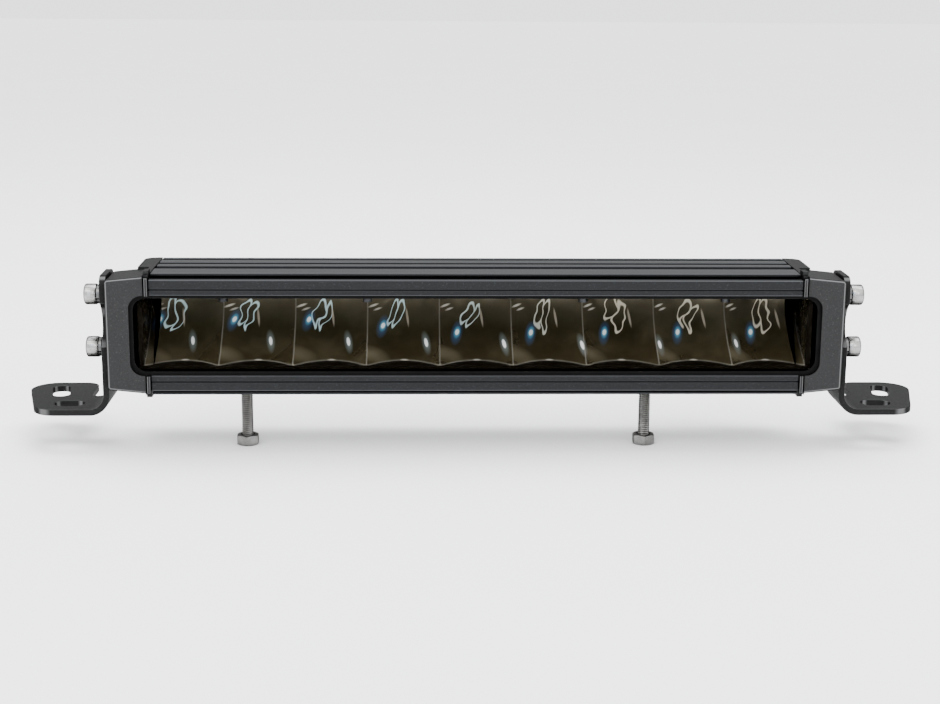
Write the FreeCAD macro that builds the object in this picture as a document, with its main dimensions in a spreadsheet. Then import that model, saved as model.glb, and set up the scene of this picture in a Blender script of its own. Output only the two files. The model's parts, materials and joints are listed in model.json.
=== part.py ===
"""Single-row LED light bar on two L-shaped end brackets.

Frame: +X to the right, the lamp faces -Y, +Z up.  The origin lies midway between the
front slots of the two bracket feet, on the underside of the feet.  Millimetres.
"""
import FreeCAD
import Part
import math
import os
import Sketcher

VECTOR = FreeCAD.Vector
AXIS_TURNS = {
    "x": FreeCAD.Rotation(VECTOR(0, 1, 0), 90),
    "y": FreeCAD.Rotation(VECTOR(1, 0, 0), -90),
    "z": FreeCAD.Rotation(),
}
SIDES = (("left", "-1"), ("right", "1"))

# alias, value, what it is
DIMENSIONS = (
    ("front_face", -17.5, "lamp front face, Y"),
    ("lamp_height", 40.0, "lamp centre line, Z"),
    ("body_depth", 51.5, "extrusion, front face to rear face"),
    ("body_half_length", 153.4, "extrusion, half length"),
    ("body_half_height", 28.7, "extrusion, half height"),
    ("bezel_half_height", 26.75, "raised front frame, half height"),
    ("bezel_depth", 3.6, "front frame's upper edge, front face to rear edge"),
    ("bezel_groove_end", 6.5, "end of the groove behind that edge"),
    ("bezel_groove_floor", 23.4, "floor of that groove, from the centre line"),
    ("fin_plate_under", 27.6, "underside of the front fin's thin front edge"),
    ("undercut_floor", 24.4, "floor of the undercut behind that edge"),
    ("undercut_end", 12.5, "rear end of the undercut"),
    ("drip_lip_face", 1.5, "drip lip under the front frame, behind the front face"),
    ("drip_lip_top", -27.5, "upper face of the drip lip"),
    ("drip_slit_end", 5.5, "rear end of the slit over the drip lip"),
    ("bezel_line", 22.1, "decorative line on the front frame, from the centre line"),
    ("bezel_line_width", 0.7, "width and depth of that line"),
    ("window_half_height", 19.2, "window opening, half height"),
    ("window_half_length", 163.3, "window opening, half length"),
    ("window_radius", 6.3, "window corner radius"),
    ("lip_depth", 2.2, "front lip that the lens gasket seats on"),
    ("seat_half_height", 21.0, "lens seat, half height"),
    ("seat_end", 8.2, "rear end of the lens seat"),
    ("cavity_end", 47.5, "inner face of the rear wall"),
    ("cavity_floor", -19.7, "cavity floor over the bolt channel"),
    ("cavity_low_floor", -26.2, "cavity floor behind the bolt channel"),
    ("cavity_low_start", 25.5, "front of the low part of the cavity"),
    ("cavity_low_end", 40.6, "rear of the low part of the cavity"),
    ("shelf_face", 14.6, "underside of the heat-spreading shelf"),
    ("ceiling", 19.5, "cavity ceiling in front of the shelf"),
    ("ceiling_end", 27.0, "rear end of that ceiling"),
    ("fin_root", 22.5, "root of the cooling fins"),
    ("rear_groove_depth", 2.0, "grooves in the rear face, depth"),
    ("rear_groove_width", 3.5, "grooves in the rear face, width"),
    ("rear_hole_depth", 10.0, "cut length of the gland and vent holes"),
    ("channel_centre", 17.5, "bolt channel, from the front face"),
    ("channel_mouth", 3.3, "bolt channel mouth, half width"),
    ("channel_half_width", 5.4, "bolt channel inside, half width"),
    ("channel_lip", -26.6, "inner face of the channel lips"),
    ("channel_roof", -21.7, "roof of the bolt channel"),
    ("edge_radius", 0.8, "rounding of the extrusion's long edges"),
    ("gasket_thickness", 0.6, "end gasket"),
    ("cap_flange_end", 156.5, "outer face of the cap flange"),
    ("cap_outer", 174.4, "side face of the end cap"),
    ("cap_block_depth", 30.0, "front block of the end cap"),
    ("cap_root_half_height", 28.2, "front block at the flange, half height"),
    ("cap_tip_half_height", 26.3, "front block at the side face, half height"),
    ("cap_shoulder_end", 162.0, "outer face of the rear shoulder"),
    ("cap_shoulder_start", 24.0, "front of the rear shoulder"),
    ("cap_shoulder_depth", 51.0, "rear of the shoulder"),
    ("cap_bevel", 1.7, "rounding of the cap's front edges"),
    ("cap_pocket_end", 165.5, "end wall inside the front block"),
    ("cap_rear_pocket_end", 160.6, "end wall inside the shoulder"),
    ("cap_gap_depth", 2.0, "gap on both sides of the bead, from the front face"),
    ("cap_gap_end", 156.4, "outer side of the gap beside the bead"),
    ("bead_proud", 1.3, "bead, proud of the front face"),
    ("bead_half_height", 27.7, "bead, half height"),
    ("bead_width", 1.7, "bead, width"),
    ("rim_start", 3.6, "front of the flange's raised rim"),
    ("rim_end", 10.0, "rear of the flange's raised rim"),
    ("rim_half_height", 30.4, "raised rim, half height"),
    ("cap_wall", 2.5, "rear wall of the front block"),
    ("cap_room_floor", -18.4, "floor of the rooms inside the cap"),
    ("cap_room_ceiling", 19.3, "ceiling of the front room inside the cap"),
    ("shoulder_radius", 5.0, "upright rear edge of the shoulder"),
    ("cap_screw_hole", 1.7, "clearance hole of the cap screws, radius"),
    ("cap_screw_pilot", 1.25, "pilot hole of the cap screws, radius"),
    ("cap_screw_reach", 11.0, "depth of the pilot holes"),
    ("counterbore_radius", 3.1, "counterbores of the front cap screws"),
    ("counterbore_seat", 166.5, "seat of the front cap screws"),
    ("lens_start", 3.0, "lens front face"),
    ("lens_thickness", 3.0, "lens"),
    ("lens_half_length", 164.8, "lens, half length"),
    ("lens_half_height", 20.6, "lens, half height"),
    ("lens_radius", 6.0, "lens corner radius"),
    ("seal_half_length", 161.6, "lens gasket opening, half length"),
    ("seal_half_height", 17.6, "lens gasket opening, half height"),
    ("cell_count", 9, "reflector cells"),
    ("cell_pitch", 35.0, "reflector cells, centre to centre"),
    ("dish_axis", 12.4, "axis of the half dishes, above the centre line"),
    ("dish_vertex", 45.5, "vertex of the dishes, from the front face"),
    ("focal_length", 6.6, "focal length of the dishes"),
    ("reflector_front", 6.2, "front edge of the reflector"),
    ("reflector_half_length", 160.0, "reflector, half length"),
    ("reflector_wall", 1.5, "reflector end walls"),
    ("reflector_floor", -15.5, "top of the reflector's floor lip"),
    ("reflector_bottom", -17.4, "underside of the reflector"),
    ("reflector_top", 19.0, "top of the reflector's visor"),
    ("visor_bend", 8.0, "front flat of the visor, rear end"),
    ("visor_bend_under", 17.6, "underside of the visor behind its front flat"),
    ("visor_front_under", 17.8, "underside of the visor at its front"),
    ("visor_end", 27.6, "rear end of the visor"),
    ("visor_end_top", 14.2, "top of the visor at its rear end"),
    ("visor_end_under", 12.9, "underside of the visor at its rear end"),
    ("reflector_back", 46.3, "rear face of the reflector"),
    ("floor_lip_end", 20.0, "rear end of the reflector's floor lip"),
    ("board_face", 12.5, "underside of the LED board"),
    ("board_thickness", 1.6, "circuit boards"),
    ("board_start", 28.0, "front edge of the LED board"),
    ("board_end", 46.7, "rear edge of the LED board"),
    ("board_half_length", 150.5, "LED board, half length"),
    ("led_size", 3.5, "LED package, square side"),
    ("led_base", 0.7, "LED package, thickness"),
    ("led_dome", 1.3, "LED dome, radius"),
    ("board_screw_place", 30.3, "LED board screws, from the front face"),
    ("board_screw_depth", 4.5, "depth of their pilot holes in the shelf"),
    ("small_screw", 1.25, "pilot holes of the board screws, radius"),
    ("small_shank", 1.23, "board screws, shank radius"),
    ("small_head", 2.3, "board screws, head radius"),
    ("small_head_height", 1.8, "LED board screws, head height"),
    ("driver_head_height", 1.6, "driver board screws, head height"),
    ("spacer_radius", 2.6, "driver board spacers, outer radius"),
    ("driver_face", 38.4, "front face of the driver board"),
    ("driver_half_length", 70.0, "driver board, half length"),
    ("driver_bottom", -25.4, "bottom edge of the driver board"),
    ("driver_top", -7.2, "top edge of the driver board"),
    ("driver_screw_height", -16.0, "driver board screws, above the centre line"),
    ("driver_screw_depth", 2.6, "depth of their pilot holes in the rear wall"),
    ("coil_radius", 3.6, "coils, radius"),
    ("coil_length", 6.0, "coils, height off the board"),
    ("coil_height", -21.4, "coils, from the centre line"),
    ("can_radius", 3.0, "capacitors, radius"),
    ("can_length", 8.0, "capacitors, height off the board"),
    ("can_height", -21.8, "capacitors, from the centre line"),
    ("chip_length", 5.0, "chips, length"),
    ("chip_width", 4.0, "chips, width"),
    ("chip_thickness", 1.5, "chips, thickness"),
    ("chip_height", -15.0, "chips, lower edge from the centre line"),
    ("terminal_place", 50.0, "terminal block, X of its left end"),
    ("terminal_length", 9.0, "terminal block, length"),
    ("terminal_depth", 6.0, "terminal block, front to rear"),
    ("terminal_tall", 7.0, "terminal block, height"),
    ("terminal_height", -14.2, "terminal block, lower edge from the centre line"),
    ("ribbon_width", 8.0, "link ribbon, width"),
    ("ribbon_thickness", 0.3, "link ribbon, thickness"),
    ("ribbon_tail", 25.0, "link ribbon, upright length"),
    ("ribbon_foot", 7.0, "link ribbon, foot length"),
    ("ribbon_foot_thickness", 0.6, "link ribbon, stiffened foot"),
    ("ribbon_height", -11.0, "link ribbon, lower end from the centre line"),
    ("lead_radius", 0.8, "supply leads, radius"),
    ("lead_bend", 3.0, "supply leads, bend radius"),
    ("lead_plane", 3.0, "supply leads, behind the driver board"),
    ("gland_place", 118.0, "cable gland and vent, distance from the middle"),
    ("gland_height", -10.6, "cable gland and vent, from the centre line"),
    ("gland_thread", 6.0, "cable gland thread, radius"),
    ("gland_bore", 3.2, "bore of the gland seal, radius"),
    ("gland_flats", 16.0, "gland body and cap nut, across flats"),
    ("gland_flange", 4.0, "gland body flange, thickness"),
    ("gland_nose", 6.4, "gland nose, radius"),
    ("gland_nose_length", 9.0, "gland nose, length"),
    ("gland_tail", 3.6, "gland thread inside the rear wall"),
    ("gland_room", 4.6, "room in the gland for its seal, radius"),
    ("seal_length", 8.6, "gland seal, length"),
    ("seal_start", 3.4, "gland seal, behind the rear face"),
    ("lock_nut_flats", 15.0, "gland lock nut, across flats"),
    ("lock_nut_height", 3.2, "gland lock nut, height"),
    ("cap_nut_start", 4.2, "gland cap nut, behind the rear face"),
    ("cap_nut_height", 8.2, "gland cap nut, height"),
    ("cap_nut_room", 7.8, "depth of the room in the cap nut"),
    ("vent_thread", 4.0, "vent thread, radius"),
    ("vent_tail", 2.0, "vent thread inside the rear wall"),
    ("vent_flats", 11.0, "vent flange, across flats"),
    ("vent_flange", 2.2, "vent flange, thickness"),
    ("vent_dome", 4.6, "vent dome, radius"),
    ("vent_dome_height", 4.2, "vent dome, height"),
    ("vent_bore", 1.5, "vent bore, radius"),
    ("vent_slit_width", 1.6, "cross slit of the vent, width"),
    ("vent_slit_depth", 0.8, "cross slit of the vent, front to rear"),
    ("vent_slit_start", 2.6, "cross slit of the vent, behind the rear face"),
    ("hole_slack", 0.05, "slack of the gland and vent holes, in radius"),
    ("plate", 3.0, "bracket plate thickness"),
    ("leg_face", 174.5, "inner face of the bracket leg"),
    ("leg_half_width", 12.5, "bracket leg, half width"),
    ("leg_top", 67.5, "top edge of the bracket leg"),
    ("leg_corner", 5.0, "top corners of the leg"),
    ("bend_radius", 7.0, "inner radius of the bend"),
    ("waist_half_width", 6.2, "half width of the leg's waist"),
    ("waist_radius", 12.0, "radius of the waist notches"),
    ("foot_rear", 42.0, "rear edge of the foot"),
    ("foot_tip_front", 210.3, "outer edge of the foot at its front"),
    ("foot_tip_rear", 224.2, "outer edge of the foot at its rear"),
    ("foot_inner_rear", 188.3, "inner edge of the foot's rear part"),
    ("relief", 15.0, "bend relief cut, Y"),
    ("foot_rear_corner", 13.0, "rear outer corner of the foot"),
    ("foot_inner_corner", 7.0, "rear inner corner of the foot"),
    ("foot_front_corner", 12.0, "front corner of the foot"),
    ("slot_place", 196.0, "front foot slot centre, X"),
    ("slot_half_width", 5.25, "front foot slot, half width"),
    ("slot_length", 14.5, "front foot slot, end to end"),
    ("rear_slot_place", 204.8, "rear foot slot centre, X"),
    ("rear_slot_y", 24.5, "rear foot slot centre, Y"),
    ("rear_slot_half_width", 4.25, "rear foot slot, half width"),
    ("rear_slot_reach", 6.2, "rear foot slot, centre to end-arc centre"),
    ("rear_slot_lean", 1.1, "rear foot slot, sideways lean of each end"),
    ("pivot_height", 31.2, "pivot screws, Z"),
    ("swing_radius", 25.6, "pivot screws to clamp screws"),
    ("tilt_limit", 15.0, "tilt each way, degrees"),
    ("pivot_hole", 3.08, "pivot hole in the leg, radius"),
    ("arc_half_width", 3.3, "arc slot in the leg, half width"),
    ("screw_shank", 2.98, "bracket screw, shank radius"),
    ("screw_head", 5.0, "bracket screw, head radius"),
    ("screw_head_height", 6.0, "bracket screw, head height"),
    ("screw_length", 14.0, "bracket screw, under the head"),
    ("socket_flats", 5.0, "bracket screw, hexagon socket"),
    ("washer_gap", 0.05, "running gap between washer and leg"),
    ("washer_thickness", 1.3, "plain washer"),
    ("washer_radius", 4.8, "plain washer, outer radius"),
    ("washer_hole", 3.2, "plain washer, hole radius"),
    ("spring_washer_hole", 3.1, "spring washer, hole radius"),
    ("socket_depth", 3.0, "bracket screw, depth of the socket"),
    ("cap_screw_head", 2.7, "cap screws, head radius"),
    ("cap_screw_head_height", 1.8, "cap screws, head height"),
    ("thread_slack", 0.02, "slack of the cap screws in their pilot holes"),
    ("spring_washer", 1.6, "spring washer thickness"),
    ("spring_washer_radius", 4.6, "spring washer, outer radius"),
    ("insert_radius", 3.95, "threaded insert, outer radius"),
    ("insert_length", 8.0, "threaded insert"),
    ("insert_thread", 3.0, "threaded insert, thread radius"),
    ("stud_radius", 2.95, "channel bolt, shank radius"),
    ("stud_end", -17.3, "lower end of the channel bolts, Z"),
    ("bolt_head_half", 5.1, "channel bolt head, half width"),
    ("bolt_head_height", 4.0, "channel bolt head"),
    ("left_bolt_place", -110.6, "left channel bolt, X"),
    ("right_bolt_place", 82.4, "right channel bolt, X"),
    ("nut_flats", 10.0, "channel nut, across flats"),
    ("nut_height", 5.0, "channel nut"),
    ("nut_bore", 2.99, "channel nut, bore radius"),
)

# cap screws: distance behind the front face, height above the centre line
FRONT_SCREWS = (("11.5", "22.2"), ("10.2", "-22.4"))
REAR_SCREWS = (("44.5", "18.8"), ("44.6", "-22.4"))
# LED board screws sit on cell seams, counted in cells from the middle
BOARD_SCREWS = ("-3.5", "-1.5", "1.5", "3.5")
# driver board: X of its screws, coils, capacitors and chips
DRIVER_SCREWS = ("-66", "-22", "22", "66")
COILS = ("-45", "-5", "35")
CAPACITORS = ("-57", "-34", "8", "48", "57")
CHIPS = ("-52", "-12", "28", "50")
# heights of the two supply leads above the centre line
LEAD_HEIGHTS = ("-9.5", "-11.7")
# gaps between the fins, each from and to, behind the front face
FIN_GAPS = (("20.5", "27.5"), ("33", "37.5"), ("44.5", "48.5"))
# lower edges of the grooves in the rear face, above the centre line
REAR_GROOVES = ("-1", "6", "13", "20")
# stepped back of the reflector: distance behind the front face, height
REFLECTOR_BACK = (("27", "-14"), ("36.5", "-8"), ("42.7", "-1"), ("dims.reflector_back", "6"))

doc = FreeCAD.newDocument("light_bar")
nodes = []


# ---------------------------------------------------------------- helpers

def make_sheet():
    """Put every driving dimension in the spreadsheet, under its alias."""
    sheet = doc.addObject("Spreadsheet::Sheet", "dims")
    for row, (alias, size, note) in enumerate(DIMENSIONS, 1):
        sheet.set(f"A{row}", note)
        sheet.set(f"B{row}", str(size))
        sheet.setAlias(f"B{row}", alias)
    doc.recompute()
    return sheet


SHEET = make_sheet()


def number(formula):
    """The present value of a formula."""
    return float(SHEET.evalExpression(formula))


def bind(thing, **formulas):
    """Bind properties of an object to formulas over the sheet."""
    for name, formula in formulas.items():
        thing.setExpression(name, formula)


def keep(thing, label):
    """Name an object as one of the light bar's pieces."""
    thing.Label = label
    nodes.append(thing)
    return thing


def depth(formula):
    """Y of a distance behind the lamp's front face."""
    return f"dims.front_face + {formula}"


def level(formula):
    """Z of a height above the lamp's centre line."""
    return f"dims.lamp_height + {formula}"


def cylinder(name, radius, length, start, axis="z"):
    """A cylinder from its start point along an axis."""
    piece = doc.addObject("Part::Cylinder", name)
    piece.Placement = FreeCAD.Placement(VECTOR(), AXIS_TURNS[axis])
    bind(piece, Radius=radius, Height=length)
    place(piece, start)
    return piece


def place(piece, start):
    """Bind a piece's base point."""
    for letter, formula in zip("xyz", start):
        piece.setExpression(f"Placement.Base.{letter}", formula)


def box(name, size, start):
    """A box from its low corner."""
    piece = doc.addObject("Part::Box", name)
    bind(piece, Length=size[0], Width=size[1], Height=size[2])
    place(piece, start)
    return piece


def prism(name, flats, length, start, axis):
    """A hexagonal prism from its start point along an axis."""
    piece = doc.addObject("Part::Prism", name)
    piece.Polygon = 6
    piece.Placement = FreeCAD.Placement(VECTOR(), AXIS_TURNS[axis])
    bind(piece, Circumradius=f"({flats}) / sqrt(3)", Height=length)
    place(piece, start)
    return piece


def fuse(name, pieces):
    """Join pieces that overlap."""
    joined = doc.addObject("Part::MultiFuse", name)
    joined.Shapes = pieces
    joined.Refine = True
    return joined


def cut(name, base, tool):
    """Take one piece out of another."""
    result = doc.addObject("Part::Cut", name)
    result.Base = base
    result.Tool = tool
    return result


def group(name, pieces):
    """Separate solids that share one node."""
    joined = doc.addObject("Part::Compound", name)
    joined.Links = pieces
    return joined


def new_body(name):
    """A PartDesign body that becomes one node."""
    return keep(doc.addObject("PartDesign::Body", name), name)


def sketch_on(body, role, name, offset="0"):
    """A sketch on one of the body's own origin planes, moved along the plane's normal."""
    plane = [item for item in body.Origin.OriginFeatures if item.Role == role][0]
    sketch = body.newObject("Sketcher::SketchObject", name)
    sketch.AttachmentSupport = [(plane, "")]
    sketch.MapMode = "FlatFace"
    sketch.setExpression("AttachmentOffset.Base.z", offset)
    return sketch


def pin_point(sketch, geometry, point, u, v):
    """Hold a sketch point at two formulas, measured from the sketch's origin."""
    for kind, axis, formula in (("DistanceX", -2, u), ("DistanceY", -1, v)):
        size = number(formula)
        if abs(size) < 1e-9:
            sketch.addConstraint(Sketcher.Constraint("PointOnObject", geometry, point, axis))
            continue
        index = sketch.addConstraint(Sketcher.Constraint(kind, -1, 1, geometry, point, size))
        sketch.setExpression(f"Constraints[{index}]", formula)


def add_polygon(sketch, corners):
    """A closed outline of straight lines through corners given as formulas."""
    points = [VECTOR(number(u), number(v), 0) for u, v in corners]
    ids = []
    for start, end in zip(points, points[1:] + points[:1]):
        ids.append(sketch.addGeometry(Part.LineSegment(start, end), False))
    for first, second in zip(ids, ids[1:] + ids[:1]):
        sketch.addConstraint(Sketcher.Constraint("Coincident", first, 2, second, 1))
    for line, (u, v) in zip(ids, corners):
        pin_point(sketch, line, 1, u, v)


def add_rectangle(sketch, u_low, u_high, v_low, v_high):
    """A rectangle between formulas."""
    add_polygon(sketch, ((u_low, v_low), (u_high, v_low), (u_high, v_high), (u_low, v_high)))


def add_circle(sketch, u, v, radius):
    """A circle about formulas."""
    centre = VECTOR(number(u), number(v), 0)
    circle = sketch.addGeometry(Part.Circle(centre, VECTOR(0, 0, 1), number(radius)), False)
    index = sketch.addConstraint(Sketcher.Constraint("Radius", circle, number(radius)))
    sketch.setExpression(f"Constraints[{index}]", radius)
    pin_point(sketch, circle, 3, u, v)


def add_slot(sketch, first, second, radius):
    """A slot between two end-arc centres."""
    centres = [VECTOR(number(u), number(v), 0) for u, v in (first, second)]
    along = (centres[1] - centres[0]).normalize()
    across = VECTOR(-along.y, along.x, 0) * number(radius)
    tips = (centres[0] - along * number(radius), centres[1] + along * number(radius))
    arcs = []
    for centre, tip, side in ((centres[0], tips[0], 1), (centres[1], tips[1], -1)):
        arc = Part.Arc(centre + across * side, tip, centre - across * side)
        arcs.append(sketch.addGeometry(arc, False))
    sides = []
    for side in (1, -1):
        line = Part.LineSegment(centres[0] + across * side, centres[1] + across * side)
        sides.append(sketch.addGeometry(line, False))
    sketch.addConstraint(Sketcher.Constraint("Tangent", arcs[0], 1, sides[0], 1))
    sketch.addConstraint(Sketcher.Constraint("Tangent", arcs[0], 2, sides[1], 1))
    sketch.addConstraint(Sketcher.Constraint("Tangent", arcs[1], 2, sides[0], 2))
    sketch.addConstraint(Sketcher.Constraint("Tangent", arcs[1], 1, sides[1], 2))
    index = sketch.addConstraint(Sketcher.Constraint("Radius", arcs[0], number(radius)))
    sketch.setExpression(f"Constraints[{index}]", radius)
    for arc, (u, v) in zip(arcs, (first, second)):
        pin_point(sketch, arc, 3, u, v)


def pad(body, sketch, length, side="One side", reverse=False):
    """Add material from a sketch."""
    feature = body.newObject("PartDesign::Pad", sketch.Name + "_pad")
    feature.Profile = sketch
    feature.SideType = side
    feature.Reversed = reverse
    bind(feature, Length=length)
    doc.recompute()
    return feature


def pocket(body, sketch, length=None, side="One side", reverse=False):
    """Take material away from a sketch, and make sure that it cut something."""
    before = body.Shape.Volume
    feature = body.newObject("PartDesign::Pocket", sketch.Name + "_pocket")
    feature.Profile = sketch
    feature.SideType = side
    feature.Reversed = reverse
    if length is None:
        feature.Type = "ThroughAll"
    else:
        bind(feature, Length=length)
    doc.recompute()
    if body.Shape.Volume > before - 0.01:
        raise RuntimeError(f"{feature.Name} cuts nothing")
    return feature


def fillet(body, name, radius, chooser):
    """Round the edges that a chooser picks from the body's present shape."""
    base = body.Tip
    picked = [f"Edge{i}" for i, edge in enumerate(base.Shape.Edges, 1) if chooser(edge)]
    if not picked:
        raise RuntimeError(f"{name} found no edge")
    feature = body.newObject("PartDesign::Fillet", name)
    feature.Base = (base, picked)
    bind(feature, Radius=radius)
    doc.recompute()
    if feature.Shape.isNull() or not feature.isValid():
        raise RuntimeError(f"{name} could not be rounded")
    return feature


def runs_along(edge, letter):
    """Whether a straight edge lies along an axis."""
    if len(edge.Vertexes) != 2 or not isinstance(edge.Curve, Part.Line):
        return False
    step = edge.Vertexes[1].Point - edge.Vertexes[0].Point
    return abs(getattr(step.normalize(), letter)) > 0.9999


def at(edge, **places):
    """Whether an edge's middle has the given coordinates."""
    middle = edge.CenterOfMass
    return all(abs(getattr(middle, letter) - spot) < 0.02 for letter, spot in places.items())


# ---------------------------------------------------------------- housing

def make_housing():
    """The finned extrusion: front frame, lens seat, cavity, shelf and bolt channel."""
    body = new_body("housing")
    outline = sketch_on(body, "YZ_Plane", "housing_outline")
    add_rectangle(outline, "dims.front_face", depth("dims.body_depth"),
                  level("(-dims.body_half_height)"), level("dims.body_half_height"))
    pad(body, outline, "2 * dims.body_half_length", "Symmetric")
    cut_front_frame(body)
    cut_cavity(body)
    cut_fins(body)
    cut_channel(body)
    cut_housing_holes(body)
    round_housing(body)


def cut_front_frame(body):
    """Step the front frame in, groove it above, slit it below, and scribe its face lines."""
    above = sketch_on(body, "YZ_Plane", "frame_upper_step")
    add_rectangle(above, "dims.front_face - 1", depth("dims.bezel_depth"),
                  level("dims.bezel_half_height"), level("(dims.body_half_height + 1)"))
    pocket(body, above, side="Symmetric")
    groove = sketch_on(body, "YZ_Plane", "frame_groove")
    add_rectangle(groove, depth("dims.bezel_depth"), depth("dims.bezel_groove_end"),
                  level("dims.bezel_groove_floor"), level("(dims.body_half_height + 1)"))
    pocket(body, groove, side="Symmetric")
    undercut = sketch_on(body, "YZ_Plane", "fin_undercut")
    add_rectangle(undercut, depth("dims.bezel_groove_end - 1"), depth("dims.undercut_end"),
                  level("dims.undercut_floor"), level("dims.fin_plate_under"))
    pocket(body, undercut, side="Symmetric")
    below = sketch_on(body, "YZ_Plane", "frame_lower_step")
    add_rectangle(below, "dims.front_face - 1", depth("dims.drip_lip_face"),
                  level("(-dims.body_half_height - 1)"), level("(-dims.bezel_half_height)"))
    pocket(body, below, side="Symmetric")
    slit = sketch_on(body, "YZ_Plane", "drip_slit")
    add_rectangle(slit, depth("dims.drip_lip_face - 1"), depth("dims.drip_slit_end"),
                  level("dims.drip_lip_top"), level("(-dims.bezel_half_height)"))
    pocket(body, slit, side="Symmetric")
    lines = sketch_on(body, "YZ_Plane", "frame_lines")
    for sign in ("1", "-1"):
        add_rectangle(lines, "dims.front_face - 1", depth("dims.bezel_line_width"),
                      level(f"{sign} * (dims.bezel_line - dims.bezel_line_width / 2)"),
                      level(f"{sign} * (dims.bezel_line + dims.bezel_line_width / 2)"))
    pocket(body, lines, side="Symmetric")


def cut_cavity(body):
    """Window, lens seat and the cavity with its low rear floor."""
    window = sketch_on(body, "YZ_Plane", "window")
    add_rectangle(window, "dims.front_face - 1", depth("dims.lip_depth"),
                  level("(-dims.window_half_height)"), level("dims.window_half_height"))
    pocket(body, window, side="Symmetric")
    seat = sketch_on(body, "YZ_Plane", "lens_seat")
    add_rectangle(seat, depth("dims.lip_depth"), depth("dims.seat_end"),
                  level("(-dims.seat_half_height)"), level("dims.seat_half_height"))
    pocket(body, seat, side="Symmetric")
    cavity = sketch_on(body, "YZ_Plane", "cavity")
    add_polygon(cavity, (
        (depth("dims.seat_end"), level("dims.cavity_floor")),
        (depth("dims.cavity_low_start"), level("dims.cavity_floor")),
        (depth("dims.cavity_low_start"), level("dims.cavity_low_floor")),
        (depth("dims.cavity_low_end"), level("dims.cavity_low_floor")),
        (depth("dims.cavity_low_end"), level("dims.cavity_floor")),
        (depth("dims.cavity_end"), level("dims.cavity_floor")),
        (depth("dims.cavity_end"), level("dims.shelf_face")),
        (depth("dims.ceiling_end"), level("dims.shelf_face")),
        (depth("dims.ceiling_end"), level("dims.ceiling")),
        (depth("dims.seat_end"), level("dims.ceiling"))))
    pocket(body, cavity, side="Symmetric")


def cut_fins(body):
    """Grooves between the cooling fins on top, and shallow ones across the rear face."""
    top = sketch_on(body, "YZ_Plane", "fin_gaps")
    for start, end in FIN_GAPS:
        add_rectangle(top, depth(start), depth(end),
                      level("dims.fin_root"), level("(dims.body_half_height + 1)"))
    pocket(body, top, side="Symmetric")
    rear = sketch_on(body, "YZ_Plane", "rear_grooves")
    for low in REAR_GROOVES:
        add_rectangle(rear, depth("dims.body_depth - dims.rear_groove_depth"),
                      depth("dims.body_depth + 1"), level(low),
                      level(f"({low} + dims.rear_groove_width)"))
    pocket(body, rear, side="Symmetric")


def cut_channel(body):
    """The bolt channel that runs the length of the underside."""
    mouth = sketch_on(body, "YZ_Plane", "channel_mouth")
    middle = depth("dims.channel_centre")
    add_rectangle(mouth, f"{middle} - dims.channel_mouth", f"{middle} + dims.channel_mouth",
                  level("(-dims.body_half_height - 1)"), level("dims.channel_lip"))
    pocket(body, mouth, side="Symmetric")
    inside = sketch_on(body, "YZ_Plane", "channel_inside")
    add_rectangle(inside, f"{middle} - dims.channel_half_width",
                  f"{middle} + dims.channel_half_width",
                  level("dims.channel_lip"), level("dims.channel_roof"))
    pocket(body, inside, side="Symmetric")


def cut_housing_holes(body):
    """Pilot holes in both ends, and the gland and vent holes in the rear wall."""
    for side, sign in SIDES:
        pilots = sketch_on(body, "YZ_Plane", f"pilots_{side}", f"{sign} * dims.body_half_length")
        for y, z in FRONT_SCREWS + REAR_SCREWS:
            add_circle(pilots, depth(y), level(f"({z})"), "dims.cap_screw_pilot")
        pocket(body, pilots, "dims.cap_screw_reach", reverse=(side == "left"))
    rear = sketch_on(body, "XZ_Plane", "rear_holes", f"-({depth('dims.body_depth')})")
    add_circle(rear, "dims.gland_place", level("dims.gland_height"), 
               "dims.gland_thread + dims.hole_slack")
    add_circle(rear, "-dims.gland_place", level("dims.gland_height"), 
               "dims.vent_thread + dims.hole_slack")
    pocket(body, rear, "dims.rear_hole_depth", reverse=True)
    shelf = sketch_on(body, "XY_Plane", "shelf_pilots", level("dims.shelf_face"))
    for seam in BOARD_SCREWS:
        add_circle(shelf, f"{seam} * dims.cell_pitch", depth("dims.board_screw_place"),
                   "dims.small_screw")
    pocket(body, shelf, "dims.board_screw_depth", reverse=True)
    wall = sketch_on(body, "XZ_Plane", "driver_pilots", f"-({depth('dims.cavity_end')})")
    for x in DRIVER_SCREWS:
        add_circle(wall, x, level("dims.driver_screw_height"), "dims.small_screw")
    pocket(body, wall, "dims.driver_screw_depth")


def round_housing(body):
    """Round the long edges that the eye sees: the front frame and the outer corners."""
    front = number("dims.front_face")
    groove = number(depth("dims.bezel_groove_end"))
    lip = number(depth("dims.drip_lip_face"))
    rear = number(depth("dims.body_depth"))
    middle = number("dims.lamp_height")
    frame = number("dims.bezel_half_height")
    outer = number("dims.body_half_height")
    window = number("dims.window_half_height")
    spots = [(lip, -outer)]
    for y, z in ((front, frame), (front, window), (rear, outer)):
        spots += [(y, z), (y, -z)]

    def chosen(edge):
        return runs_along(edge, "x") and any(at(edge, y=y, z=middle + z) for y, z in spots)

    fillet(body, "housing_rounding", "dims.edge_radius", chosen)
    fillet(body, "fin_edge_rounding", "dims.edge_radius / 2",
           lambda edge: runs_along(edge, "x") and at(edge, y=groove, z=middle + outer))


# ---------------------------------------------------------------- end caps and gaskets

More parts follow.
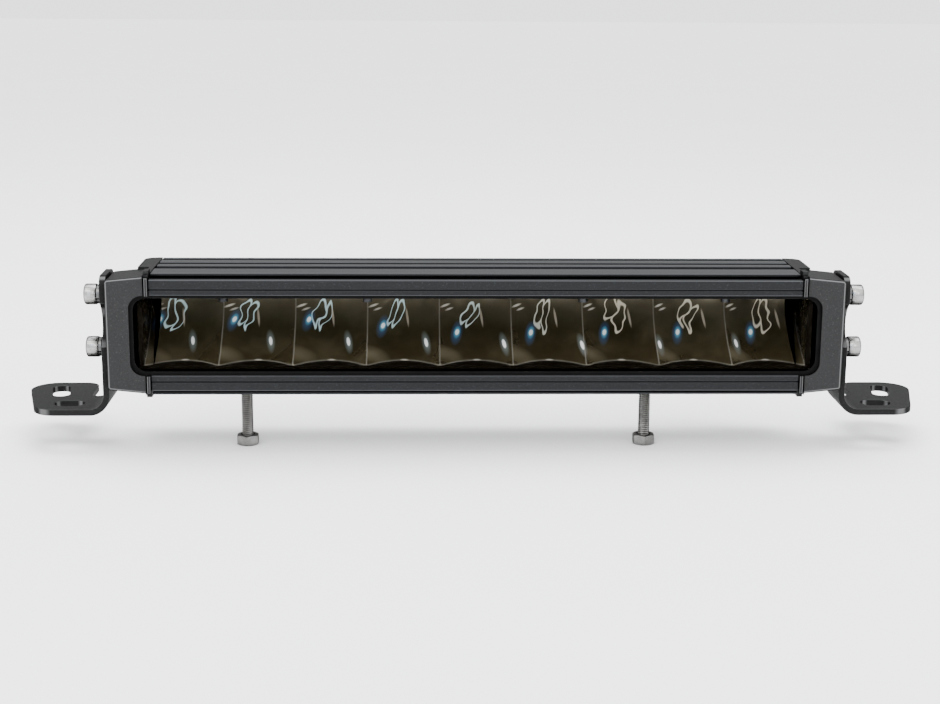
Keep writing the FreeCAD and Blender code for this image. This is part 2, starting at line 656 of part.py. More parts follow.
def make_end_cap(side, sign):
    """Cast end cap: flange with rim and bead, tapered front block and rear shoulder."""
    body = new_body(f"end_cap_{side}")
    inner = f"{sign} * (dims.body_half_length + dims.gasket_thickness)"
    flange = sketch_on(body, "XZ_Plane", f"flange_{side}", "-dims.front_face")
    add_rectangle(flange, inner, f"{sign} * dims.cap_flange_end",
                  level("(-dims.body_half_height)"), level("dims.body_half_height"))
    pad(body, flange, "dims.body_depth", reverse=True)
    block = sketch_on(body, "XZ_Plane", f"block_{side}", "-dims.front_face")
    add_polygon(block, (
        (f"{sign} * (dims.cap_flange_end - 1)", level("(-dims.cap_root_half_height)")),
        (f"{sign} * dims.cap_outer", level("(-dims.cap_tip_half_height)")),
        (f"{sign} * dims.cap_outer", level("dims.cap_tip_half_height")),
        (f"{sign} * (dims.cap_flange_end - 1)", level("dims.cap_root_half_height"))))
    pad(body, block, "dims.cap_block_depth", reverse=True)
    round_block(body, side, sign)
    shoulder = sketch_on(body, "XZ_Plane", f"shoulder_{side}",
                         "-dims.front_face - dims.cap_shoulder_start")
    add_rectangle(shoulder, f"{sign} * (dims.cap_flange_end - 1)",
                  f"{sign} * dims.cap_shoulder_end",
                  level("(-dims.body_half_height)"), level("dims.body_half_height"))
    pad(body, shoulder, "dims.cap_shoulder_depth - dims.cap_shoulder_start", reverse=True)
    round_shoulder(body, side, sign)
    add_rim_and_bead(body, side, sign, inner)
    hollow_cap(body, side, sign)
    drill_cap(body, side, sign)


def add_rim_and_bead(body, side, sign, inner):
    """Raised rim round the flange, and a bead that stands in a gap at the flange's front."""
    rim = sketch_on(body, "XZ_Plane", f"rim_{side}", "-dims.front_face - dims.rim_start")
    add_rectangle(rim, inner, f"{sign} * dims.cap_flange_end",
                  level("(-dims.rim_half_height)"), level("dims.rim_half_height"))
    pad(body, rim, "dims.rim_end - dims.rim_start", reverse=True)
    gap = sketch_on(body, "XZ_Plane", f"bead_gap_{side}", "-dims.front_face + 1")
    add_rectangle(gap, f"{inner} - {sign}", f"{sign} * dims.cap_gap_end",
                  level("(-dims.body_half_height - 1)"), level("dims.body_half_height + 1"))
    pocket(body, gap, "dims.cap_gap_depth + 1")
    bead = sketch_on(body, "XZ_Plane", f"bead_{side}", "-dims.front_face + dims.bead_proud")
    add_rectangle(bead, inner, f"{inner} + {sign} * dims.bead_width",
                  level("(-dims.bead_half_height)"), level("dims.bead_half_height"))
    pad(body, bead, "dims.bead_proud + dims.cap_gap_depth + 1", reverse=True)
    front = number("dims.front_face - dims.bead_proud")
    fillet(body, f"bead_rounding_{side}", "0.45 * dims.bead_width",
           lambda edge: abs(edge.CenterOfMass.y - front) < 0.02)


def round_block(body, side, sign):
    """Round the front block: large radius at the rear, small radius round the side face."""
    outer = number(f"{sign} * dims.cap_outer")
    flange = number("dims.cap_flange_end")
    front = number("dims.front_face")
    rear = number(depth("dims.cap_block_depth"))
    centre = number("dims.lamp_height")

    def rear_edges(edge):
        middle = edge.CenterOfMass
        level_edge = abs(middle.z - centre) > 15
        return abs(middle.x) > flange + 1 and abs(middle.y - rear) < 0.02 and level_edge

    fillet(body, f"block_rear_{side}", "3 * dims.cap_bevel", rear_edges)

    def side_edges(edge):
        middle = edge.CenterOfMass
        on_front = abs(middle.y - front) < 0.02 and abs(middle.x) > flange + 1
        return on_front or abs(middle.x - outer) < 0.02

    fillet(body, f"block_bevel_{side}", "dims.cap_bevel", side_edges)


def round_shoulder(body, side, sign):
    """Round the shoulder's upright outer edge."""
    outer = number(f"{sign} * dims.cap_shoulder_end")
    rear = number(depth("dims.cap_shoulder_depth"))

    def chosen(edge):
        return runs_along(edge, "z") and at(edge, x=outer, y=rear)

    fillet(body, f"shoulder_rounding_{side}", "dims.shoulder_radius", chosen)


def hollow_cap(body, side, sign):
    """Window end, lens seat and the pocket that takes the reflector's end."""
    start = f"{sign} * (dims.body_half_length - 2)"
    window = sketch_on(body, "XZ_Plane", f"window_{side}", "-dims.front_face + 3")
    add_rectangle(window, start, f"{sign} * dims.window_half_length",
                  level("(-dims.window_half_height)"), level("dims.window_half_height"))
    pocket(body, window, "dims.lip_depth + 3.1")
    end = number(f"{sign} * dims.window_half_length")

    def chosen(edge):
        return runs_along(edge, "y") and abs(edge.CenterOfMass.x - end) < 0.02

    fillet(body, f"window_corners_{side}", "dims.window_radius", chosen)
    hollows = (
        ("seat", "dims.lip_depth", "dims.seat_end", "dims.cap_pocket_end",
         "(-dims.seat_half_height)", "dims.seat_half_height"),
        ("front_room", "dims.seat_end", "dims.cap_block_depth - dims.cap_wall",
         "dims.cap_pocket_end", "dims.cap_room_floor", "dims.cap_room_ceiling"),
        ("rear_room", "dims.cap_block_depth - dims.cap_wall", "dims.cavity_end",
         "dims.cap_rear_pocket_end", "dims.cap_room_floor", "dims.shelf_face"))
    for name, near, far, wall, low, high in hollows:
        room = sketch_on(body, "XZ_Plane", f"{name}_{side}", f"-({depth(near)})")
        add_rectangle(room, start, f"{sign} * {wall}", level(low), level(high))
        pocket(body, room, f"{far} - ({near})")


def drill_cap(body, side, sign):
    """Insert pockets in the side face, cap screw holes and counterbores."""
    away = side == "left"
    outer = sketch_on(body, "YZ_Plane", f"insert_pockets_{side}", f"{sign} * dims.cap_outer")
    for height in ("dims.pivot_height", "dims.pivot_height + dims.swing_radius"):
        add_circle(outer, "0", height, "dims.insert_radius")
    pocket(body, outer, "dims.insert_length", reverse=away)
    holes = sketch_on(body, "YZ_Plane", f"cap_holes_{side}", f"{sign} * dims.cap_outer")
    for y, z in FRONT_SCREWS + REAR_SCREWS:
        add_circle(holes, depth(y), level(f"({z})"), "dims.cap_screw_hole")
    pocket(body, holes, "30", reverse=away)
    bores = sketch_on(body, "YZ_Plane", f"counterbores_{side}", f"{sign} * dims.cap_outer")
    for y, z in FRONT_SCREWS:
        add_circle(bores, depth(y), level(f"({z})"), "dims.counterbore_radius")
    pocket(body, bores, "dims.cap_outer - dims.counterbore_seat", reverse=away)


def make_end_gasket(side, sign):
    """Flat gasket between the extrusion and a cap."""
    body = new_body(f"end_gasket_{side}")
    sheet = sketch_on(body, "YZ_Plane", f"gasket_sheet_{side}", f"{sign} * dims.body_half_length")
    add_rectangle(sheet, depth("dims.seat_end"), depth("dims.body_depth - 0.8"),
                  level("(-dims.body_half_height + 0.6)"), level("dims.fin_root"))
    pad(body, sheet, "dims.gasket_thickness", reverse=(side == "left"))
    frame = sketch_on(body, "YZ_Plane", f"gasket_frame_{side}", f"{sign} * dims.body_half_length")
    for name, low, high in (("low", "(-dims.body_half_height + 2.5)", "(-dims.seat_half_height)"),
                            ("high", "dims.seat_half_height", "dims.bezel_half_height - 0.5")):
        add_rectangle(frame, depth("dims.cap_gap_depth + 0.5"), depth("dims.seat_end + 1"),
                      level(low), level(high))
    pad(body, frame, "dims.gasket_thickness", reverse=(side == "left"))
    opening = sketch_on(body, "YZ_Plane", f"gasket_opening_{side}",
                        f"{sign} * (dims.body_half_length - 1)")
    add_rectangle(opening, depth("dims.seat_end - 1"), depth("dims.cavity_end"),
                  level("dims.cavity_floor"), level("dims.shelf_face"))
    pocket(body, opening, "5", reverse=(side == "right"))
    upper = sketch_on(body, "YZ_Plane", f"gasket_upper_{side}",
                      f"{sign} * (dims.body_half_length - 1)")
    add_rectangle(upper, depth("dims.seat_end - 1"), depth("dims.ceiling_end"),
                  level("dims.shelf_face - 1"), level("dims.ceiling"))
    pocket(body, upper, "5", reverse=(side == "right"))
    holes = sketch_on(body, "YZ_Plane", f"gasket_holes_{side}",
                      f"{sign} * (dims.body_half_length - 1)")
    for y, z in FRONT_SCREWS + REAR_SCREWS:
        add_circle(holes, depth(y), level(f"({z})"), "dims.cap_screw_hole")
    pocket(body, holes, "5", reverse=(side == "right"))


# ---------------------------------------------------------------- optics and electronics

def make_lens():
    """Flat clear lens with rounded corners."""
    body = new_body("lens")
    pane = sketch_on(body, "XZ_Plane", "pane", f"-({depth('dims.lens_start')})")
    add_rectangle(pane, "-dims.lens_half_length", "dims.lens_half_length",
                  level("(-dims.lens_half_height)"), level("dims.lens_half_height"))
    pad(body, pane, "dims.lens_thickness", reverse=True)
    fillet(body, "pane_corners", "dims.lens_radius", lambda edge: runs_along(edge, "y"))


def make_lens_gasket():
    """Black silicone frame between the front lip and the lens."""
    body = new_body("lens_gasket")
    thickness = "dims.lens_start - dims.lip_depth"
    ring = sketch_on(body, "XZ_Plane", "ring", f"-({depth('dims.lip_depth')})")
    add_rectangle(ring, "-dims.lens_half_length", "dims.lens_half_length",
                  level("(-dims.lens_half_height)"), level("dims.lens_half_height"))
    pad(body, ring, thickness, reverse=True)
    opening = sketch_on(body, "XZ_Plane", "ring_opening", f"-({depth('dims.lip_depth')})")
    add_rectangle(opening, "-dims.seal_half_length", "dims.seal_half_length",
                  level("(-dims.seal_half_height)"), level("dims.seal_half_height"))
    pocket(body, opening, thickness)
    fillet(body, "ring_corners", "dims.lens_radius", lambda edge: runs_along(edge, "y"))


def add_dish(sketch, axis_height):
    """Half section of one dish, below its axis: a parabola closed by its axis and mouth."""
    vertex = number(depth("dims.dish_vertex"))
    focal = number("dims.focal_length")
    mouth = number(depth("dims.reflector_front - 2"))
    reach = 2 * math.sqrt(focal * (vertex - mouth))
    curve = Part.BSplineCurve()
    steps = 24
    points = []
    for step in range(steps + 1):
        drop = reach * step / steps
        points.append(VECTOR(vertex - drop * drop / (4 * focal), axis_height - drop, 0))
    curve.interpolate(points)
    sketch.addGeometry(curve, False)
    corner = VECTOR(mouth, axis_height, 0)
    sketch.addGeometry(Part.LineSegment(points[-1], corner), False)
    sketch.addGeometry(Part.LineSegment(corner, points[0]), False)


def make_reflector():
    """One moulding with a row of half-parabolic dishes that open forwards."""
    body = new_body("reflector")
    axis = number(level("dims.dish_axis"))
    block = sketch_on(body, "YZ_Plane", "reflector_block")
    add_polygon(block, reflector_outline())
    pad(body, block, "2 * (dims.reflector_half_length - dims.reflector_wall)", "Symmetric")
    visor = sketch_on(body, "YZ_Plane", "visor_room")
    add_polygon(visor, (
        (depth("dims.reflector_front - 1"), level("dims.dish_axis")),
        (depth("dims.visor_end"), level("dims.dish_axis")),
        (depth("dims.visor_end"), level("dims.visor_end_under")),
        (depth("dims.visor_bend"), level("dims.visor_bend_under")),
        (depth("dims.reflector_front - 1"), level("dims.visor_front_under"))))
    pocket(body, visor, side="Symmetric")
    first = "-dims.cell_pitch * (dims.cell_count - 1) / 2"
    for cell in range(int(number("dims.cell_count"))):
        dish = sketch_on(body, "YZ_Plane", f"dish_{cell}", f"{first} + {cell} * dims.cell_pitch")
        add_dish(dish, axis)
        line = Part.LineSegment(VECTOR(0, axis, 0), VECTOR(30, axis, 0))
        dish.addGeometry(line, True)
        turn = body.newObject("PartDesign::Groove", f"dish_{cell}_groove")
        turn.Profile = dish
        turn.ReferenceAxis = (dish, ["Axis0"])
        turn.Midplane = True
        turn.Angle = 180
        before = body.Shape.Volume
        doc.recompute()
        if body.Shape.Volume > before - 100:
            raise RuntimeError("a dish cuts nothing")
    close_reflector(body)


def reflector_outline():
    """Side outline of the moulding: floor lip, stepped back, board rim and visor."""
    corners = [(depth("dims.reflector_front"), level("dims.reflector_bottom")),
               (depth("dims.floor_lip_end"), level("dims.reflector_bottom"))]
    for y, z in REFLECTOR_BACK:
        corners.append((depth(y), level(f"({z})")))
    return corners + [
        (depth("dims.reflector_back"), level("dims.dish_axis")),
        (depth("dims.visor_end"), level("dims.dish_axis")),
        (depth("dims.visor_end"), level("dims.visor_end_top")),
        (depth("dims.visor_bend"), level("dims.reflector_top")),
        (depth("dims.reflector_front"), level("dims.reflector_top"))]


def close_reflector(body):
    """End walls and floor lip."""
    wall = "dims.reflector_half_length - dims.reflector_wall"
    for side, sign in SIDES:
        end = sketch_on(body, "YZ_Plane", f"reflector_end_{side}", f"{sign} * ({wall})")
        add_polygon(end, reflector_outline())
        pad(body, end, "dims.reflector_wall", reverse=(side == "left"))
    lip = sketch_on(body, "YZ_Plane", "floor_lip")
    add_rectangle(lip, depth("dims.reflector_front"), depth("dims.floor_lip_end"),
                  level("dims.reflector_bottom"), level("dims.reflector_floor"))
    pad(body, lip, f"2 * ({wall}) + 1", "Symmetric")


def cell_place(cell):
    """X of a cell's middle."""
    return f"dims.cell_pitch * ({cell} - (dims.cell_count - 1) / 2)"


def board_slab(name, thickness, under):
    """A slab the size of the LED board, with its screw holes."""
    slab = box(f"{name}_slab", ("2 * dims.board_half_length",
                                "dims.board_end - dims.board_start", thickness),
               ("-dims.board_half_length", depth("dims.board_start"), under))
    holes = []
    for index, seam in enumerate(BOARD_SCREWS):
        holes.append(cylinder(f"{name}_hole_{index}", "dims.small_screw", "4",
                              (f"{seam} * dims.cell_pitch", depth("dims.board_screw_place"),
                               f"{under} - 1")))
    return cut(name, slab, group(f"{name}_holes", holes))


def make_led_board():
    """Metal-core board, its thermal pad and its screws."""
    keep(board_slab("led_board", "dims.board_thickness", level("dims.board_face")), "led_board")
    keep(board_slab("thermal_pad", "dims.shelf_face - dims.board_face - dims.board_thickness",
                    level("dims.board_face + dims.board_thickness")), "thermal_pad")
    screws = []
    for index, seam in enumerate(BOARD_SCREWS):
        x = f"{seam} * dims.cell_pitch"
        y = depth("dims.board_screw_place")
        head = cylinder(f"board_screw_head_{index}", "dims.small_head", "dims.small_head_height",
                        (x, y, level("dims.board_face - dims.small_head_height")))
        shank = cylinder(f"board_screw_shank_{index}", "dims.small_shank", "7",
                         (x, y, level("dims.board_face - 1")))
        screws.append(fuse(f"board_screw_{index}", [head, shank]))
    keep(group("led_board_screws", screws), "led_board_screws")


def make_leds():
    """LEDs at the focus of each dish, facing down."""
    focus = depth("dims.dish_vertex - dims.focal_length")
    leds = []
    for cell in range(int(number("dims.cell_count"))):
        base = box(f"led_base_{cell}", ("dims.led_size", "dims.led_size", "dims.led_base"),
                   (f"{cell_place(cell)} - dims.led_size / 2", f"{focus} - dims.led_size / 2",
                    level("dims.board_face - dims.led_base")))
        dome = doc.addObject("Part::Sphere", f"led_dome_{cell}")
        bind(dome, Radius="dims.led_dome")
        place(dome, (cell_place(cell), focus, level("dims.board_face - dims.led_base + 0.1")))
        cover = box(f"led_cover_{cell}", ("6", "6", "3"),
                    (f"{cell_place(cell)} - 3", f"{focus} - 3", level("dims.board_face")))
        leds.append(cut(f"led_{cell}", fuse(f"led_solid_{cell}", [base, dome]), cover))
    keep(group("led_emitters", leds), "led_emitters")


def make_driver():
    """Driver board on spacers in front of the rear wall, with its components."""
    face = depth("dims.driver_face")
    back = f"{face} + dims.board_thickness"
    height = level("dims.driver_screw_height")
    slab = box("driver_slab", ("2 * dims.driver_half_length", "dims.board_thickness",
                               "dims.driver_top - dims.driver_bottom"),
               ("-dims.driver_half_length", face, level("dims.driver_bottom")))
    holes = []
    spacers = []
    screws = []
    gap = "dims.cavity_end - dims.driver_face - dims.board_thickness"
    for index, x in enumerate(DRIVER_SCREWS):
        holes.append(cylinder(f"driver_hole_{index}", "dims.small_screw", "4",
                              (x, f"{face} - 1", height), "y"))
        tube = cylinder(f"spacer_tube_{index}", "dims.spacer_radius", gap, (x, back, height), "y")
        bore = cylinder(f"spacer_bore_{index}", "dims.small_screw", f"{gap} + 2",
                        (x, f"{back} - 1", height), "y")
        spacers.append(cut(f"spacer_{index}", tube, bore))
        head = cylinder(f"driver_screw_head_{index}", "dims.small_head",
                        "dims.driver_head_height", (x, f"{face} - dims.driver_head_height", height),
                        "y")
        shank = cylinder(f"driver_screw_shank_{index}", "dims.small_shank",
                         f"{gap} + dims.board_thickness + dims.driver_screw_depth",
                         (x, f"{face} - 0.2", height), "y")
        screws.append(fuse(f"driver_screw_{index}", [head, shank]))
    keep(cut("driver_board", slab, group("driver_holes", holes)), "driver_board")
    keep(group("driver_spacers", spacers), "driver_spacers")
    keep(group("driver_screws", screws), "driver_screws")
    make_driver_components(face, back)


def make_driver_components(face, back):
    """Coils, capacitors and chips in front of the board, terminals and ribbon behind it."""
    for kind, name, places in (("coil", "driver_coils", COILS),
                               ("can", "driver_capacitors", CAPACITORS)):
        rounds = []
        for index, x in enumerate(places):
            rounds.append(cylinder(f"{kind}_{index}", f"dims.{kind}_radius", f"dims.{kind}_length",
                                   (x, f"{face} - dims.{kind}_length",
                                    level(f"dims.{kind}_height")), "y"))
        keep(group(name, rounds), name)
    chips = []
    for index, x in enumerate(CHIPS):
        chips.append(box(f"chip_{index}",
                         ("dims.chip_length", "dims.chip_thickness", "dims.chip_width"),
                         (x, f"{face} - dims.chip_thickness", level("dims.chip_height"))))
    keep(group("driver_chips", chips), "driver_chips")
    keep(box("terminal_block", ("dims.terminal_length", "dims.terminal_depth",
                                "dims.terminal_tall"),
             ("dims.terminal_place", back, level("dims.terminal_height"))), "terminal_block")
    middle = "-dims.ribbon_width / 2"
    low = level("dims.ribbon_height")
    tail = box("ribbon_tail", ("dims.ribbon_width", "dims.ribbon_thickness", "dims.ribbon_tail"),
               (middle, depth("dims.board_end"), low))
    foot = box("ribbon_foot", ("dims.ribbon_width", "dims.ribbon_foot",
                               "dims.ribbon_foot_thickness"), (middle, back, low))
    keep(fuse("link_ribbon", [tail, foot]), "link_ribbon")


def make_supply_leads():
    """Two insulated wires from the terminal block into the gland."""
    leads = []
    start = "dims.terminal_place + dims.terminal_length"
    turn_x = "dims.gland_place - dims.lead_bend"
    y = depth("dims.driver_face + dims.board_thickness + dims.lead_plane")
    turn_y = f"{y} + dims.lead_bend"
    end = depth("dims.cavity_end + 3")
    for index, drop in enumerate(LEAD_HEIGHTS):
        z = level(f"({drop})")
        along = cylinder(f"lead_run_{index}", "dims.lead_radius", f"{turn_x} - ({start})",
                         (start, y, z), "x")
        turn = doc.addObject("Part::Torus", f"lead_turn_{index}")
        bind(turn, Radius1="dims.lead_bend", Radius2="dims.lead_radius")
        turn.Placement = FreeCAD.Placement(VECTOR(), FreeCAD.Rotation(VECTOR(0, 0, 1), -90))
        turn.Angle3 = 90
        place(turn, (turn_x, turn_y, z))
        rise = cylinder(f"lead_rise_{index}", "dims.lead_radius", f"{end} - ({turn_y})",
                        ("dims.gland_place", turn_y, z), "y")
        leads.append(fuse(f"lead_{index}", [along, turn, rise]))
    keep(group("supply_leads", leads), "supply_leads")


def make_gland():
    """Cable gland in the rear wall: body, lock nut, rubber seal and compression nut."""
    x = "dims.gland_place"
    z = level("dims.gland_height")
    wall = depth("dims.body_depth")
    inside = depth("dims.cavity_end")
    shank = cylinder("gland_shank", "dims.gland_thread",
                     "dims.body_depth - dims.cavity_end + dims.gland_tail",
                     (x, f"{inside} - dims.gland_tail", z), "y")
    flange = prism("gland_flange", "dims.gland_flats", "dims.gland_flange", (x, wall, z), "y")
    nose = cylinder("gland_nose", "dims.gland_nose", "dims.gland_nose_length",
                    (x, f"{wall} + dims.gland_flange - 1", z), "y")
    bore = cylinder("gland_body_bore", "dims.gland_room", "30", (x, f"{inside} - 5", z), "y")
    keep(cut("cable_gland_body", fuse("gland_solid", [shank, flange, nose]), bore),
         "cable_gland_body")
    nut = prism("gland_nut_hex", "dims.lock_nut_flats", "dims.lock_nut_height",
                (x, f"{inside} - dims.lock_nut_height", z), "y")
    nut_hole = cylinder("gland_nut_hole", "dims.gland_thread", "8", (x, f"{inside} - 5", z), "y")
    keep(cut("gland_lock_nut", nut, nut_hole), "gland_lock_nut")
    seal = cylinder("seal_solid", "dims.gland_room", "dims.seal_length",
                    (x, f"{wall} + dims.seal_start", z), "y")
    seal_hole = cylinder("seal_hole", "dims.gland_bore", "dims.seal_length + 2",
                         (x, f"{wall} + dims.seal_start - 1", z), "y")
    keep(cut("gland_seal", seal, seal_hole), "gland_seal")
    start = f"{wall} + dims.cap_nut_start"
    skirt = prism("cap_nut_hex", "dims.gland_flats", "dims.cap_nut_height", (x, start, z), "y")
    room = cylinder("cap_nut_room", "dims.gland_nose", "dims.cap_nut_room", (x, start, z), "y")
    mouth = cylinder("cap_nut_mouth", "dims.gland_bore + 0.6", "dims.cap_nut_height",
                     (x, f"{start} + 1", z), "y")
    keep(cut("gland_cap_nut", skirt, fuse("cap_nut_hollow", [room, mouth])), "gland_cap_nut")


def make_vent():
    """Breather vent in the rear wall."""
    x = "-dims.gland_place"
    z = level("dims.gland_height")
    wall = depth("dims.body_depth")
    shank = cylinder("vent_shank", "dims.vent_thread",
                     "dims.body_depth - dims.cavity_end + dims.vent_tail",
                     (x, depth("dims.cavity_end - dims.vent_tail"), z), "y")
    flange = prism("vent_flange", "dims.vent_flats", "dims.vent_flange", (x, wall, z), "y")
    dome = cylinder("vent_dome", "dims.vent_dome", "dims.vent_dome_height", (x, wall, z), "y")
    bore = cylinder("vent_bore", "dims.vent_bore", "9", (x, depth("dims.cavity_end - 3"), z), "y")
    slit = box("vent_slit", ("20", "dims.vent_slit_depth", "dims.vent_slit_width"),
               (f"{x} - 10", f"{wall} + dims.vent_slit_start", f"{z} - dims.vent_slit_width / 2"))
    keep(cut("vent_plug", fuse("vent_solid", [shank, flange, dome]),
             fuse("vent_room", [bore, slit])), "vent_plug")


# ---------------------------------------------------------------- brackets

def make_bracket(side, sign):
    """Bent plate: leg with pivot hole and arc slot, foot with two slots."""
    body = new_body(f"bracket_{side}")
    leg = f"{sign} * dims.leg_face"
    profile = sketch_on(body, "XZ_Plane", f"plate_profile_{side}", "-dims.foot_rear")
    add_polygon(profile, (
        (leg, "0"), (f"{sign} * dims.foot_tip_rear", "0"),
        (f"{sign} * dims.foot_tip_rear", "dims.plate"),
        (f"{sign} * (dims.leg_face + dims.plate)", "dims.plate"),
        (f"{sign} * (dims.leg_face + dims.plate)", "dims.leg_top"), (leg, "dims.leg_top")))
    pad(body, profile, "dims.foot_rear + dims.leg_half_width")
    bend_plate(body, side, sign)
    trim_leg(body, side, sign)
    trim_foot(body, side, sign)
    cut_foot_slots(body, side, sign)
    cut_leg_holes(body, side, sign)


def bend_plate(body, side, sign):
    """Round the inside and the outside of the bend."""
    inside = number(f"{sign} * (dims.leg_face + dims.plate)")
    outside = number(f"{sign} * dims.leg_face")
    thickness = number("dims.plate")
    fillet(body, f"bend_inside_{side}", "dims.bend_radius",
           lambda edge: runs_along(edge, "y") and at(edge, x=inside, z=thickness))
    fillet(body, f"bend_outside_{side}", "dims.bend_radius + dims.plate",
           lambda edge: runs_along(edge, "y") and at(edge, x=outside, z=0))


def trim_leg(body, side, sign):
    """Cut the leg to its width, with rounded top corners and waisted sides."""
    rear = sketch_on(body, "XZ_Plane", f"leg_rear_{side}", "-dims.leg_half_width")
    add_rectangle(rear, f"{sign} * (dims.leg_face - 1)",
                  f"{sign} * (dims.leg_face + dims.plate + 1)",
                  "dims.bend_radius + dims.plate + 1", "dims.leg_top + 1")
    pocket(body, rear, "dims.foot_rear")
    relief = sketch_on(body, "XZ_Plane", f"bend_relief_{side}", "-dims.relief")
    add_rectangle(relief, f"{sign} * (dims.leg_face - 1)", f"{sign} * dims.foot_inner_rear",
                  "-1", "dims.bend_radius + dims.plate + 2")
    pocket(body, relief, "dims.foot_rear")
    top = number("dims.leg_top")
    half = number("dims.leg_half_width")

    def corners(edge):
        return runs_along(edge, "x") and (at(edge, y=half, z=top) or at(edge, y=-half, z=top))

    fillet(body, f"leg_corners_{side}", "dims.leg_corner", corners)
    waist = sketch_on(body, "YZ_Plane", f"waist_{side}", f"{sign} * dims.leg_face - 2")
    for way in ("1", "-1"):
        add_circle(waist, f"{way} * (dims.waist_half_width + dims.waist_radius)",
                   "dims.pivot_height + dims.swing_radius / 2", "dims.waist_radius")
    pocket(body, waist, "20", "Symmetric")


def trim_foot(body, side, sign):
    """Taper the foot's outer edge and round its corners."""
    taper = sketch_on(body, "XY_Plane", f"foot_taper_{side}", "-1")
    add_polygon(taper, (
        (f"{sign} * dims.foot_tip_front", "-dims.leg_half_width"),
        (f"{sign} * (dims.foot_tip_rear + 1)", "-dims.leg_half_width"),
        (f"{sign} * (dims.foot_tip_rear + 1)", "dims.foot_rear"),
        (f"{sign} * dims.foot_tip_rear", "dims.foot_rear")))
    pocket(body, taper, "10", reverse=True)
    for name, outer, y in (("rear", True, "dims.foot_rear"), ("inner", False, "dims.foot_rear"),
                           ("front", True, "-dims.leg_half_width")):
        fillet(body, f"foot_{name}_corner_{side}", f"dims.foot_{name}_corner",
               foot_corner(outer, number(y)))


def foot_corner(outer, y):
    """Picks an upright corner edge of the foot on its outer or inner part."""
    divide = number("dims.slot_place")

    def chosen(edge):
        middle = edge.CenterOfMass
        same_side = (abs(middle.x) > divide) == outer
        return runs_along(edge, "z") and abs(middle.y - y) < 0.02 and same_side

    return chosen


def cut_foot_slots(body, side, sign):
    """The short front slot and the long rear slot."""
    half = "dims.slot_length / 2 - dims.slot_half_width"
    front = sketch_on(body, "XY_Plane", f"front_slot_{side}", "-1")
    add_slot(front, (f"{sign} * dims.slot_place - ({half})", "0"),
             (f"{sign} * dims.slot_place + ({half})", "0"), "dims.slot_half_width")
    pocket(body, front, "6", reverse=True)
    rear = sketch_on(body, "XY_Plane", f"rear_slot_{side}", "-1")
    add_slot(rear, (f"{sign} * (dims.rear_slot_place - dims.rear_slot_lean)",
                    "dims.rear_slot_y - dims.rear_slot_reach"),
             (f"{sign} * (dims.rear_slot_place + dims.rear_slot_lean)",
              "dims.rear_slot_y + dims.rear_slot_reach"), "dims.rear_slot_half_width")
    pocket(body, rear, "6", reverse=True)


def cut_leg_holes(body, side, sign):
    """Pivot hole, and the arc slot that lets the lamp tilt about it."""
    pivot = sketch_on(body, "YZ_Plane", f"pivot_hole_{side}", f"{sign} * dims.leg_face")
    add_circle(pivot, "0", "dims.pivot_height", "dims.pivot_hole")
    pocket(body, pivot, "20", "Symmetric")
    arc = sketch_on(body, "XZ_Plane", f"arc_section_{side}")
    add_rectangle(arc, f"{sign} * (dims.leg_face - 1)",
                  f"{sign} * (dims.leg_face + dims.plate + 1)",
                  "dims.pivot_height + dims.swing_radius - dims.arc_half_width",
                  "dims.pivot_height + dims.swing_radius + dims.arc_half_width")
    height = number("dims.pivot_height")
    axis = Part.LineSegment(VECTOR(0, height, 0), VECTOR(30, height, 0))
    line = arc.addGeometry(axis, True)
    pin_point(arc, line, 1, "0", "dims.pivot_height")
    arc.addConstraint(Sketcher.Constraint("Horizontal", line))
    turn = body.newObject("PartDesign::Groove", f"arc_slot_{side}")
    turn.Profile = arc
    turn.ReferenceAxis = (arc, ["Axis0"])
    turn.Midplane = True
    bind(turn, Angle="2 * dims.tilt_limit * 1 deg")
    doc.recompute()
    ends = sketch_on(body, "YZ_Plane", f"arc_ends_{side}", f"{sign} * dims.leg_face")
    for way in ("1", "-1"):
        add_circle(ends, f"{way} * dims.swing_radius * sin(dims.tilt_limit * 1 deg)",
                   "dims.pivot_height + dims.swing_radius * cos(dims.tilt_limit * 1 deg)",
                   "dims.arc_half_width")
    pocket(body, ends, "20", "Symmetric")


# ---------------------------------------------------------------- fasteners

def make_bracket_fasteners():
    """Pivot and clamp screws with their washers, and the inserts that they screw into."""
    heights = {"pivot": "dims.pivot_height", "clamp": "dims.pivot_height + dims.swing_radius"}
    seat = "dims.leg_face + dims.plate + dims.washer_gap"
    parts = {"plain": [], "spring": [], "insert": []}
    for kind, height in heights.items():
        screws = []
        for side, sign in SIDES:
            screws.append(socket_screw(f"{kind}_screw_{side}", side, height, seat))
            parts["plain"].append(ring(f"{kind}_washer_{side}", side, height, seat,
                                       "dims.washer_thickness", "dims.washer_radius",
                                       "dims.washer_hole"))
            parts["spring"].append(ring(f"{kind}_spring_washer_{side}", side, height,
                                        f"{seat} + dims.washer_thickness", "dims.spring_washer",
                                        "dims.spring_washer_radius", "dims.spring_washer_hole"))
            parts["insert"].append(ring(f"{kind}_insert_{side}", side, height,
                                        "dims.cap_outer - dims.insert_length",
                                        "dims.insert_length", "dims.insert_radius",
                                        "dims.insert_thread"))
        keep(group(f"{kind}_screws", screws), f"{kind}_screws")
    keep(group("plain_washers", parts["plain"]), "plain_washers")
    keep(group("spring_washers", parts["spring"]), "spring_washers")
    keep(group("threaded_inserts", parts["insert"]), "threaded_inserts")


def outward(side, near, length):
    """X of the low end of something that runs outwards from a distance."""
    return near if side == "right" else f"-({near}) - ({length})"


def ring(name, side, height, near, length, radius, hole):
    """A ring about a bracket screw."""
    x = outward(side, near, length)
    solid = cylinder(f"{name}_disc", radius, length, (x, "0", height), "x")
    opening = cylinder(f"{name}_hole", hole, f"({length}) + 2", (f"{x} - 1", "0", height), "x")
    return cut(name, solid, opening)


